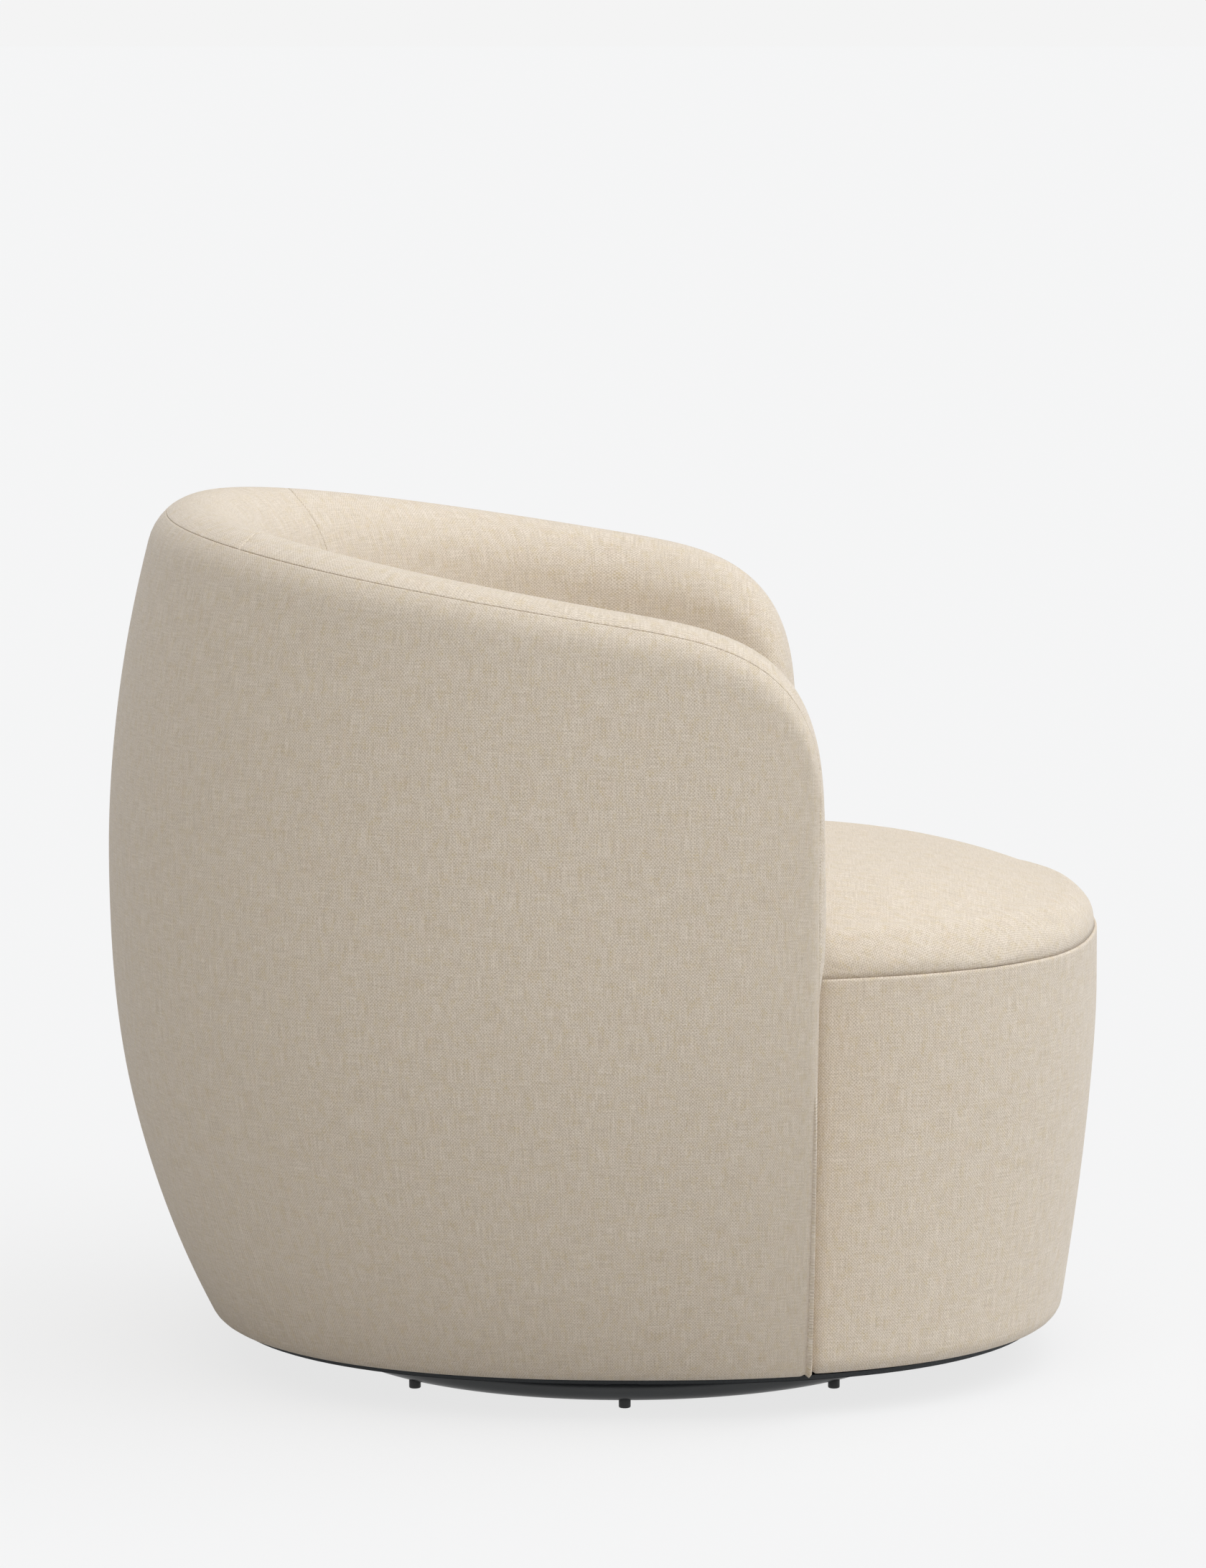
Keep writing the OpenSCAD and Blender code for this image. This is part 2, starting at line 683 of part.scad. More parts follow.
module arm_posts() {
    top = crown_z(post_station) - rail_bottom_drop - layer_clearance / 2;
    ring_side = half_width_at(ring_axes(0), post_run - rib_thickness) + layer_clearance;
    pad_side = half_width_at(inner_axes(tuck_z), post_run) + board_depth + arm_pad_thickness;
    foot_side = ring_side - rib_depth / 2;
    notch_z = seat_ring_z - rib_thickness - layer_clearance;
    levels = concat([base_board_top_z], [for (z = wall_levels(post_station)) if (z < top) z], [top]);
    outer = [for (z = levels)
        [half_width_at(shell_axes(z), post_run) - frame_depth, z]];
    inner = [[pad_side, top], [pad_side, tuck_z], [ring_side, seat_ring_z + strap_thickness],
        [ring_side, notch_z], [foot_side, notch_z], [foot_side, base_board_top_z]];
    color(birch)
        for (side = [0, 1])
            mirror([side, 0, 0])
                translate([0, -post_front_reach + rib_thickness, 0])
                    rotate([90, 0, 0])
                        linear_extrude(rib_thickness)
                            polygon(concat(outer, inner));
}

// Point of a frame piece a depth inside the outer face, on a section square to the arm front
function frame_point(station, z, depth) =
    let (axes = shell_axes(z) - [depth, depth, depth])
    concat(plan_point(sign(station), plan_turn(abs(station), 0, axes[2]), axes), z);

module top_rail() {
    inside = frame_depth + rib_depth;
    color(birch)
        loft([for (station = both_sides(concat(half_stations, [post_station])))
            let (top = crown_z(station) - top_rail_drop,
                 bottom = top - top_rail_height)
            [frame_point(station, bottom, frame_depth), frame_point(station, top, frame_depth),
             frame_point(station, top, inside), frame_point(station, bottom, inside)]]);
}

function board_levels(station) =
    let (levels = wall_levels(station))
    concat([hem_top_z], [for (i = [0:len(levels) - 2]) levels[i]], [crown_z(station) - top_rail_drop]);
function outer_board_grid(depth) = [for (station = both_sides(concat(half_stations, [post_station])))
    [for (z = board_levels(station)) frame_point(station, z, depth)]];

module outer_board() {
    color("#b79a72")
        sheet(outer_board_grid(board_depth), outer_board_grid(board_depth + outer_board_thickness));
}

// Seat box: ring, posts, bent former and webbing

module seat_ring() {
    color(birch)
        translate([0, 0, seat_ring_z - rib_thickness])
            linear_extrude(rib_thickness)
                difference() {
                    polygon([for (turn = outline_turns) plan_point(1, turn, ring_axes(0))]);
                    polygon([for (turn = outline_turns) plan_point(1, turn, ring_axes(seat_ring_width))]);
                }
}

seat_post_turns = [24, 90, 156, 202, 240, 300, 338];
module seat_posts() {
    height = seat_ring_z - rib_thickness - base_board_top_z;
    under_ring = ring_axes(seat_post_inset);
    on_board = under_axes(base_board_inset + seat_post_side / 2);
    axes = [for (i = [0:2]) min(under_ring[i], on_board[i])];
    color(birch)
        for (turn = seat_post_turns) {
            place = plan_point(1, turn, axes);
            translate([place[0] - seat_post_side / 2, place[1] - seat_post_side / 2, base_board_top_z])
                cube([seat_post_side, seat_post_side, height]);
        }
}

// Points round the front of the seat: 0 in the middle of the front, 1 or -1 at an arm front
border_shares = [0, 0.1, 0.2, 0.3, 0.4, 0.5, 0.6, 0.7, 0.8, 0.87, 0.93, 0.965, 0.985, 1];
border_run = arm_front_reach + border_gap - widest_line_forward;
function border_point(place, z, depth) =
    let (axes = seat_axes(z) - [depth, depth, depth],
         end_turn = asin(pow(border_run / axes[2], outline_squareness / 2)),
         turn = -mix(90, end_turn, abs(place)),
         run = -plan_point(1, turn, axes)[1] - widest_line_forward - border_run,
         rolled = rolled_in(max(0, run), max(0, border_end_radius - depth)))
    concat(plan_point(sign(place), turn, axes - [rolled, 0, 0]), z);
function border_grid(levels, depth) =
    [for (place = both_sides(border_shares)) [for (z = reversed(levels)) border_point(place, z, depth)]];

former_shares = [0, 0.12, 0.4, 0.7, 0.93, 1];
module front_former() {
    levels = [for (share = former_shares) mix(base_board_top_z, seat_ring_z + strap_thickness, share)];
    color("#b79a72")
        sheet(border_grid(levels, board_depth), border_grid(levels, board_depth + former_thickness));
}

// Straps lie on the seat ring, first from side to side and then over those from back to front
cross_strap_shares = [-0.62, -0.36, -0.1, 0.2, 0.5];
long_strap_shares = [-0.6, -0.2, 0.2, 0.6];
module webbing_straps() {
    axes = ring_axes(strap_width / 4);
    color("#3a3c40") {
        for (share = cross_strap_shares) {
            run = share * axes[share < 0 ? 2 : 1];
            far = max(abs(run - strap_width / 2), abs(run + strap_width / 2));
            reach = half_width_at([axes[0], 0, axes[share < 0 ? 2 : 1]], far);
            translate([-reach, run - widest_line_forward - strap_width / 2, seat_ring_z])
                cube([2 * reach, strap_width, strap_thickness]);
        }
        for (share = long_strap_shares) {
            place = share * axes[0];
            far = abs(place) + strap_width / 2;
            front = half_width_at([axes[2], 0, axes[0]], far);
            rear = half_width_at([axes[1], 0, axes[0]], far);
            translate([place - strap_width / 2, -front - widest_line_forward, seat_ring_z + strap_thickness])
                cube([strap_width, front + rear, strap_thickness]);
        }
    }
}

// Padding

// The seat's crown: 0 in the middle of the seat and 1 at its seam
function seat_dome(turn, share, depth, inset) =
    let (rise = (seat_crown_z - seat_seam_z - depth)
            * pow(1 - pow(share, seat_crown_power), 1 / seat_crown_power),
         axes = (seat_axes(seat_seam_z) - [inset, inset, inset]) * share)
    concat(plan_point(1, turn, axes), seat_seam_z + rise);

seat_turns = [0:9:351];
dome_shares = [0.04, 0.25, 0.45, 0.62, 0.76, 0.87, 0.94, 0.98, 1];
function dome_rings(depth, inset) =
    [for (share = dome_shares) [for (turn = seat_turns) seat_dome(turn, share, depth, inset)]];

module seat_top_cover() {
    color(linen)
        loft(concat(dome_rings(cover_thickness, cover_thickness), reversed(dome_rings(0, 0))));
}

module seat_foam() {
    foam_z = seat_ring_z + 2 * strap_thickness;
    inset = border_end_radius + board_clearance;
    color(foam_white)
        loft(concat([[for (turn = seat_turns) seat_point(turn, foam_z, inset)]],
            reversed(dome_rings(board_depth, inset))));
}

// Padding between the frame and the inner covers, over the top rail and under the crown
inner_turns = [60, 76, 94, 114, 136, 158, 180];
pad_turns = concat([0, seam_turn], inner_turns);
pad_fall_shares = [0.33, 0.66, 1];
pad_back = frame_depth + rib_setback + rib_depth + board_clearance;
function pad_face(stations) = [for (station = stations)
    concat([for (turn = pad_turns) crown_point(station, turn, board_depth)],
        [for (share = pad_fall_shares)
            shell_point(station, mix(spring_z(station), tuck_z, share), 1, board_depth)])];
function pad_rear(stations) = [for (station = stations)
    concat([for (turn = pad_turns)
            frame_point(station, crown_z(station) - top_rail_drop + layer_clearance,
                mix(board_depth, pad_back, (1 - cos(turn)) / 2))],
        [for (share = pad_fall_shares)
            frame_point(station, mix(spring_z(station), tuck_z, share), pad_back)])];

module back_foam() {
    color(foam_white)
        sheet(pad_face(back_stations), pad_rear(back_stations));
}

module arm_foam(side) {
    foam_run = post_run - rib_thickness - layer_clearance;
    stations = concat(part_of(quarter_shares, back_seam), [for (i = [0:3]) 1 + arm_shares[i]],
        [1 + foam_run / arm_length]);
    front = concat([for (turn = pad_turns) crown_point(2, turn, board_depth)],
        [shell_point(2, tuck_z, 1, board_depth), shell_point(2, tuck_z, 0, board_depth)]);
    color(foam_white)
        mirror([side < 0 ? 1 : 0, 0, 0]) {
            sheet(pad_face(stations), pad_rear(stations));
            translate([0, -post_front_reach - layer_clearance, 0])
                rotate([90, 0, 0])
                    linear_extrude(arm_pad_thickness)
                        polygon([for (point = front) [point[0], point[2]]]);
        }
}
module left_arm_foam() { arm_foam(1); }
module right_arm_foam() { arm_foam(-1); }

// Covers

fall_shares = [0.15, 0.4, 0.7, 1];
seam_turn_shares = [0.35, 0.7];
function outer_column(station, depth) = concat(
    [for (share = hem_shares) shell_point(station, bottom_edge_z + hem_radius * share, 0, depth)],
    [for (z = wall_levels(station)) shell_point(station, z, 0, depth)],
    [for (share = seam_turn_shares) crown_point(station, seam_turn * share, depth)]);
function inner_column(station, depth) = concat(
    [for (turn = concat([seam_turn], inner_turns)) crown_point(station, turn, depth)],
    [for (share = fall_shares) shell_point(station, mix(spring_z(station), tuck_z, share), 1, depth)]);

outer_seam_turn = seam_turn - atan(seam_gap / crown_dome);
function outer_grid(depth) = [for (station = both_sides(ended(cover_stations, seam_gap / arm_length)))
    concat(outer_column(station, depth), [crown_point(station, outer_seam_turn, depth)])];
function back_grid(depth) =
    [for (station = both_sides(ended(back_half, seam_gap / belly_half_width))) inner_column(station, depth)];
front_shares = [0.5, 0.85, 1];
arm_cover_stations = concat(part_of(cover_stations, back_seam),
    [for (share = front_shares) mix(seam_station, 2, share)]);
function arm_grid(depth) = [for (station = arm_cover_stations)
    concat(outer_column(station, depth), inner_column(station, depth))];

// The arm front cover goes on behind the end of the seat border, down to where the shell gets thin
function arm_cap(depth) =
    let (x = half_width_at(seat_axes(seat_full_z), border_run) - cover_thickness / 2,
         y = depth - arm_front_reach)
    [[x, y, tuck_z], [x, y, bottom_edge_z + 3 * hem_radius]];

module outer_cover() {
    color(linen)
        sheet(outer_grid(0), outer_grid(cover_thickness));
}

module back_cover() {
    color(linen)
        sheet(back_grid(0), back_grid(cover_thickness));
}

module arm_cover(side) {
    color(linen)
        mirror([side < 0 ? 1 : 0, 0, 0])
            sheet(arm_grid(0), arm_grid(cover_thickness),
                len(arm_cover_stations) - len(front_shares) - 1,
                len(hem_shares) + len(rise_shares) + len(seam_turn_shares),
                [arm_cap(0), arm_cap(cover_thickness)]);
}
module left_arm_cover() { arm_cover(1); }
module right_arm_cover() { arm_cover(-1); }

border_level_shares = [0, 0.012, 0.04, 0.08, 0.18, 0.34, 0.52, 0.7, 0.84, 0.94, 1];
module seat_border() {
    levels = [for (share = border_level_shares) mix(bottom_edge_z, seat_seam_z, share)];
    color(linen)
        sheet(border_grid(levels, 0), border_grid(levels, cover_thickness));
}

base_ring();
base_cross();
base_glides();
swivel_lower_plate();
swivel_upper_plate();
swivel_balls();
swivel_ball_cage();
pivot_pin();
pivot_washer();
pivot_lock_nut();
lower_plate_bolts();
lower_plate_nuts();
upper_plate_screws();
base_board();
bottom_panel();
dust_cover();
shell_ribs();
arm_posts();
top_rail();
outer_board();
seat_posts();
seat_ring();
front_former();
webbing_straps();
seat_foam();
back_foam();
left_arm_foam();
right_arm_foam();
outer_cover();
back_cover();
left_arm_cover();
right_arm_cover();
seat_top_cover();
seat_border();
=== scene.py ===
# %% [markdown]
# # A swivel barrel chair, dressed over its CAD frame
#
# The chair is a barrel of padded linen that turns on a black steel ring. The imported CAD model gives
# every hidden part (bearing, plywood, ribs, webbing) its exact place, so this script only dresses it:
# it makes the cloth, the padding, the ring and its feet, and gives every other part a real finish.
# Blender's lengths are metres. The helpers that repeat the barrel's drawing work in millimetres, as an
# upholsterer's drawing does, and a panel of cloth is turned to metres when it is made.

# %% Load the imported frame
import math

import bmesh
import bpy
from mathutils import Matrix, Vector, noise


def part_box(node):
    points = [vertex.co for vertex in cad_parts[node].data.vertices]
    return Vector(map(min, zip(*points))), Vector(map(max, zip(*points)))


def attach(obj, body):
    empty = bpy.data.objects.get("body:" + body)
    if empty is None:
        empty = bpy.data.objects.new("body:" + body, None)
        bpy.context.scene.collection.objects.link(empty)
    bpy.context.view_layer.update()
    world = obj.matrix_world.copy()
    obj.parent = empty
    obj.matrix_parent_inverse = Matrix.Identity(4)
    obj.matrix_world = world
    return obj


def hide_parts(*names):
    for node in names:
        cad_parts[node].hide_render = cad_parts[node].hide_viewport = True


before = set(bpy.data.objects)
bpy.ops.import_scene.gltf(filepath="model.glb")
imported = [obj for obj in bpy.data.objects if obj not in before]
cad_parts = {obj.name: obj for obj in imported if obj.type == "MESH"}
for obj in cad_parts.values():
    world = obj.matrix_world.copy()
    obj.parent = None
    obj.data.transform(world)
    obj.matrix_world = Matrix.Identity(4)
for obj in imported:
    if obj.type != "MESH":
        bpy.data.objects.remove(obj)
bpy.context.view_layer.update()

# %% [markdown]
# ## The camera
#
# The photograph looks at the chair's right side from five metres away and a little above the seat.
# A long lens keeps the barrel's sides almost parallel. The lens is worked out from the photograph's
# width in pixels and its focal length in pixels, so the chair fills the same part of the picture.

# %% Place the camera of the photograph
photo_width_px = 1680
focal_length_px = 8550
sensor_width_mm = 36
camera_place = (-5.0, 0.0172, 1.105)
camera_tilt = 7.263                # degrees below the horizon


def in_scene(name, data):
    """A new object for a mesh, a lamp or a camera, put into the scene."""
    made = bpy.data.objects.new(name, data)
    bpy.context.scene.collection.objects.link(made)
    return made


camera_data = bpy.data.cameras.new("studio_camera")
camera_data.sensor_fit = "HORIZONTAL"
camera_data.sensor_width = sensor_width_mm
camera_data.lens = focal_length_px / photo_width_px * sensor_width_mm
camera_data.clip_end = 400
camera = in_scene("studio_camera", camera_data)
camera.location = camera_place
camera.rotation_euler = (math.radians(90 - camera_tilt), 0, math.radians(-90))
bpy.context.scene.camera = camera
bpy.context.scene.view_settings.view_transform = "Standard"
print("lens:", round(camera_data.lens, 2), "mm at", camera_place)

# %% [markdown]
# ## Helpers for every finish
#
# Colours are easiest to judge as the hex values that a screen shows, but the shader works with linear
# light, so one function turns one into the other. A second small function adds a node, fills in its
# plain values and links its inputs, which keeps each finish readable as a list of what it is made of.
# The others are steps that most finishes share: a grain of a real size, a second colour where a
# pattern is high, and the surface that carries the colour and its relief.

# %% Colour and node helpers
def linear(hex_colour):
    """A hex colour such as "#d3c7b6" as linear red, green, blue and alpha."""
    parts = [int(hex_colour[i:i + 2], 16) / 255 for i in (1, 3, 5)]
    return [p / 12.92 if p <= 0.04045 else ((p + 0.055) / 1.055) ** 2.4 for p in parts] + [1.0]


def add_node(finish, kind, values=None, links=None):
    """Adds a node to a finish. A key of values is a setting's name or an input's name or number.

    A key of links is an input, and what is linked to it is an output, or a node for its first output.
    """
    tree = finish.node_tree
    node = tree.nodes.new(kind)
    for key, value in (values or {}).items():
        if isinstance(key, str) and hasattr(node, key):
            setattr(node, key, value)
        else:
            node.inputs[key].default_value = value
    for key, source in (links or {}).items():
        tree.links.new(source.outputs[0] if hasattr(source, "outputs") else source, node.inputs[key])
    return node


def new_finish(name):
    """A material whose nodes are still to be added."""
    finish = bpy.data.materials.new(name)
    finish.use_nodes = True
    finish.node_tree.nodes.clear()
    return finish


print("linen colour #d3c7b6 in linear light:", [round(c, 3) for c in linear("#d3c7b6")[:3]])


# %% Grain, tint and surface
def grained(finish, place, size_m, detail=2.0, rough=0.5):
    """Noise from 0 to 1 at a place, with grains of that size along x, y and z."""
    scaled = add_node(finish, "ShaderNodeMapping", {"Scale": [1 / s for s in size_m]}, {"Vector": place})
    return add_node(finish, "ShaderNodeTexNoise", {"Scale": 1.0, "Detail": detail, "Roughness": rough},
                    {"Vector": scaled})


def tinted(finish, pattern, low, high, first, second, most=1.0):
    """One colour, and more of a second one as a pattern rises from low to high.

    The first is a hex colour or what an earlier step gave, and the second is a hex colour.
    """
    share = add_node(finish, "ShaderNodeMapRange", {1: low, 2: high, 4: most}, {0: pattern})
    values, links = {"data_type": "RGBA", 7: linear(second)}, {0: share}
    if isinstance(first, str):
        values[6] = linear(first)
    else:
        links[6] = first
    return add_node(finish, "ShaderNodeMix", values, links).outputs[2]


def surfaced(finish, colour, height, depth_m, values):
    """Completes a finish: its colour, a relief of that depth, and its shader's plain values."""
    relief = add_node(finish, "ShaderNodeBump", {"Distance": depth_m, "Strength": 1.0}, {"Height": height})
    shader = add_node(finish, "ShaderNodeBsdfPrincipled", values, {"Base Color": colour, "Normal": relief})
    add_node(finish, "ShaderNodeOutputMaterial", {}, {"Surface": shader})


print("a finish is grained, tinted and then surfaced")

# %% [markdown]
# ## Linen twill
#
# The cover is a plain upholstery linen: flax yarns of some two thirds of a millimetre, woven in a fine
# twill and left undyed. Flax is uneven, so some yarns are thicker for a few centimetres (slubs), and
# bits of ochre straw stay in the cloth. It could be painted from a picture, but a picture stretches and
# repeats; here the pattern is worked out from the cloth's own flat coordinates, so the yarns follow
# each panel round the barrel the way cut cloth does.

# %% The linen's sizes and helpers
yarn_pitch = 0.0026       # four yarns, as fine as the picture can show; the dots are 1.8 mm apart
dots_share = 0.34         # the rest of the weave is grain
slub_width, slub_length = 0.0009, 0.022
grain_size = 0.0011       # each crossing reflects a little more or less than the next
fleck_size = 0.006
slow_wander, quick_wander = (70.0, 0.0034), (420.0, 0.0011)     # waves in a metre, and their reach

linen = new_finish("linen_twill_upholstery")
flat_place = add_node(linen, "ShaderNodeUVMap", {"uv_map": "cloth"})


def wandering(place, waves_per_metre, reach_m):
    """Cloth coordinates pushed about by noise, because no yarn lies quite straight."""
    push = add_node(linen, "ShaderNodeTexNoise", {"Scale": waves_per_metre, "Detail": 2.0},
                    {"Vector": place})
    push = add_node(linen, "ShaderNodeVectorMath", {"operation": "SCALE", "Scale": reach_m},
                    {0: push.outputs["Color"]})
    return add_node(linen, "ShaderNodeVectorMath", {"operation": "ADD"}, {0: place, 1: push})


def together(first, second, first_share):
    """Two patterns of the linen as one, each with its share."""
    shared = [add_node(linen, "ShaderNodeMath", {"operation": "MULTIPLY", 1: share}, {0: pattern})
              for pattern, share in ((first, first_share), (second, 1 - first_share))]
    return add_node(linen, "ShaderNodeMath", {"operation": "ADD"}, {0: shared[0], 1: shared[1]})


print("linen: dots", round(yarn_pitch * 707, 2), "mm apart, slubs", slub_length * 1000, "mm long")

# %% Weave and dye the linen
loose_place = wandering(wandering(flat_place, *slow_wander), *quick_wander)
loose = add_node(linen, "ShaderNodeSeparateXYZ", {}, {0: loose_place})
yarns = []
for axis in ("X", "Y"):
    turns = add_node(linen, "ShaderNodeMath", {"operation": "MULTIPLY", 1: math.tau / yarn_pitch},
                     {0: loose.outputs[axis]})
    yarns.append(add_node(linen, "ShaderNodeMath", {"operation": "SINE"}, {0: turns}))
crossings = add_node(linen, "ShaderNodeMath", {"operation": "MULTIPLY"}, {0: yarns[0], 1: yarns[1]})
dots = add_node(linen, "ShaderNodeMapRange", {1: -1.0, 2: 1.0}, {0: crossings})
grain = grained(linen, flat_place, (grain_size, grain_size * 1.3, 1), 3.0, 0.7)
twill = together(dots, grain, dots_share)
upright_slubs = grained(linen, flat_place, (slub_width, slub_length, 1), 3.0, 0.65)
level_slubs = grained(linen, flat_place, (slub_length, slub_width, 1), 3.0, 0.65)
slubs = together(upright_slubs, level_slubs, 0.58)
straw_patch = add_node(linen, "ShaderNodeMapRange", {1: 0.47, 2: 0.66},
                       {0: grained(linen, flat_place, (fleck_size, fleck_size * 1.7, 1), 3.0, 0.6)})
straw_speck = add_node(linen, "ShaderNodeMapRange", {1: 0.44, 2: 0.62, 3: 0.06, 4: 0.46},
                       {0: grained(linen, flat_place, (0.0012, 0.0016, 2), 2.0, 0.6)})
straw = add_node(linen, "ShaderNodeMath", {"operation": "MULTIPLY"}, {0: straw_patch, 1: straw_speck})
blush = grained(linen, flat_place, (0.014, 0.022, 2))

colour = tinted(linen, twill, 0.28, 0.72, "#b5a590", "#e4d8c8")
for streaks, pale_share, dark_share in ((upright_slubs, 0.50, 0.42), (level_slubs, 0.40, 0.34)):
    colour = tinted(linen, streaks, 0.52, 0.68, colour, "#e6dbcc", pale_share)
    colour = tinted(linen, streaks, 0.47, 0.33, colour, "#b1a18a", dark_share)
colour = add_node(linen, "ShaderNodeMix", {"data_type": "RGBA", 7: linear("#c2ac76")},
                  {0: straw, 6: colour}).outputs[2]
colour = tinted(linen, blush, 0.54, 0.74, colour, "#d2b298", 0.08)
surfaced(linen, colour, together(twill, slubs, 0.6), 0.0005,
         {"Roughness": 0.9, "IOR": 1.5, "Specular IOR Level": 0.35, "Sheen Weight": 0.2,
          "Sheen Roughness": 0.5})
print(linen.name, "has", len(linen.node_tree.nodes), "nodes")

# %% [markdown]
# ## The barrel's drawing
#
# Upholsterers cut a barrel chair from a plan and a few heights. The plan is a rounded square whose
# half width changes with height: it flares up from a narrow foot to a belly and leans back in to the
# crown. A *station* says where you are round the plan: 0 in the middle of the back, 1 at the widest
# point of a side, and 2 at an arm's front. These helpers repeat the drawing of the CAD source, so the
# cloth lies within a few millimetres of its solid, with the softer rolls that padding has.

# %% Sizes of the drawing, in millimetres
belly_z, foot_z, crown_back_z, crown_arm_z = 409, 34, 704.4, 642.4
belly_axes = (405, 433, 433)       # half width, rear reach and front reach about the widest line
foot_axes = (300, 348, 348)
inner_plan = (300, 304, 433)       # the same for the inner wall, at the crown
inner_lean = 34                    # the inner back is this much nearer at the tuck
widest_line_forward = 12
squareness = 2.3                   # 2 would be an ellipse, more is squarer
flare_power = 2.3                  # how late the barrel draws in towards its foot
side_lean, back_lean = 20, 43      # how far the walls lean in from the belly to the crown
crown_dome, seam_turn = 32, 44
crown_peak = 0.38                  # share of the shell's thickness, from outside, where it is highest
inner_roll, inner_roundness = 90, 2.1   # the crown rolls down inside over this height
arm_length, arm_round_length, arm_round_height, arm_roundness = 140, 153, 166, 3.5
outer_edge_radius, inner_edge_radius, hem_radius = 12, 26, 9
inner_edge_rise = 80               # the arm's inner edge is sharp at the seat and round this far above it
front_seam_station = 2 - 4.4 / arm_length
seat_seam_z, seat_crown_z, seat_full_z = 350, 434, 300
back_seam_station = 0.4
tuck_z = 332
tuck_reaches = (18, 34)            # beside the seat, and behind the seat border
tuck_run = 60                      # millimetres of arm over which one reach becomes the other
tuck_depth = 7                     # height of the fold at the seat's seam, from below it
print("front seam at station", round(front_seam_station, 4))


# %% Small sums that the drawing uses
def mix(first, second, share):
    return first + (second - first) * share


def signed_power(value, exponent):
    return math.copysign(abs(value) ** exponent, value)


def curled(distance, radius):
    """How far a rounded edge has turned in, at a distance from the edge."""
    if distance >= radius:
        return 0.0
    return radius - math.sqrt(max(0.0, radius ** 2 - (radius - distance) ** 2))


def eased(distance, length):
    """0 at an edge, rising smoothly to 1 at a length from it."""
    share = min(1.0, max(0.0, distance / length))
    return share * share * (3 - 2 * share)


def plan_point(side, turn, axes):
    across, along = math.cos(math.radians(turn)), math.sin(math.radians(turn))
    reach = axes[2] if along < 0 else axes[1]
    return (side * axes[0] * signed_power(across, 2 / squareness),
            reach * signed_power(along, 2 / squareness) - widest_line_forward)


print("a point on the belly at station 0.5:", [round(v) for v in plan_point(1, 45, belly_axes)])


# %% The outer and the inner wall
def shell_axes(z):
    flare = 1 - (max(0.0, belly_z - z) / (belly_z - foot_z)) ** flare_power
    lean = (max(0.0, z - belly_z) / (crown_back_z - belly_z)) ** 2
    hem = curled(max(0.0, z - foot_z), hem_radius)
    side, rear, front = (mix(foot, belly, flare) for foot, belly in zip(foot_axes, belly_axes))
    return (side - side_lean * lean - hem, rear - back_lean * lean - hem, front - hem)


def inner_axes(z):
    side, rear, front = inner_plan
    return (side, rear - inner_lean * (crown_back_z - z) / (crown_back_z - tuck_z), front)


def forward(station, depth):
    return max(0.0, station - 1) * (arm_length - depth)


def tucked(station, z):
    """At the seat's seam the inner covers turn in under the seat, furthest behind the seat border."""
    reach = mix(*tuck_reaches, eased(forward(station, 0) - arm_length + tuck_run, tuck_run))
    return reach * (1 - eased(z - seat_seam_z + 4, tuck_depth))


def shell_point(station, z, across, depth):
    """A point of the shell: across is 0 outside and 1 inside, depth is below the cloth's face."""
    round_trip = abs(station)
    to_end = arm_length - depth - forward(round_trip, depth)
    outer = depth + curled(to_end, max(0.0, outer_edge_radius - depth))
    rounded = eased(z - seat_seam_z, inner_edge_rise)
    inner = depth + curled(to_end, max(0.0, inner_edge_radius - depth)) * rounded
    inner -= tucked(round_trip, z)
    axes = [mix(o - outer, i + inner, across) for o, i in zip(shell_axes(z), inner_axes(z))]
    if round_trip <= 1:
        turn = 90 * (1 - round_trip)
    else:
        share = min(1.0, forward(round_trip, depth) / axes[2])
        turn = -math.degrees(math.asin(share ** (squareness / 2)))
    return (*plan_point(1 if station >= 0 else -1, turn, axes), z)


print("arm front, outside, at the belly:", [round(v) for v in shell_point(2, belly_z, 0, 0)])

# %% The crown that joins them
crown_rear_reach = (shell_axes(crown_back_z)[1] + inner_axes(crown_back_z)[1]) / 2


def crown_height(station):
    """The crown falls from the back to the arms, and rolls down at each arm's front."""
    round_trip = abs(station)
    if round_trip <= 1:
        run = crown_rear_reach * signed_power(math.cos(math.radians(90 * round_trip)), 2 / squareness)
    else:
        run = -forward(round_trip, 0)
    share = min(1.0, max(0.0, forward(round_trip, 0) + arm_round_length - arm_length) / arm_round_length)
    drop = arm_round_height * (1 - (1 - share ** arm_roundness) ** (1 / arm_roundness))
    return crown_arm_z + (crown_back_z - crown_arm_z) * run / crown_rear_reach - drop


def inner_across(fall):
    """The share of the thickness where the inner face lies, at a fall from the crown's top."""
    share = min(1.0, max(0.0, fall / inner_roll))
    return crown_peak + (1 - crown_peak) * (1 - (1 - share) ** inner_roundness) ** (1 / inner_roundness)


inner_roll_end = math.degrees(math.acos((1 - crown_dome / inner_roll) ** (inner_roundness / 2)))


def crown_point(station, turn, depth):
    """turn is 0 where the crown leaves the outer wall, 90 at its top and 180 on the inner wall."""
    top = crown_height(station)
    if turn <= 90:
        rise = signed_power(math.sin(math.radians(turn)), 2 / squareness)
        across = crown_peak * (1 - signed_power(math.cos(math.radians(turn)), 2 / squareness))
        return shell_point(station, top - crown_dome + (crown_dome - depth) * max(0.0, rise), across, depth)
    lean = math.radians((turn - 90) / 90 * inner_roll_end)
    fall = inner_roll * (1 - math.cos(lean) ** (2 / inner_roundness))
    return shell_point(station, top - depth - fall * (1 - depth / crown_dome), inner_across(fall), depth)


def inner_wall_point(station, z, depth):
    """A point of the inner wall, which leans outwards as it nears the crown."""
    return shell_point(station, z, inner_across(crown_height(station) - z), depth)


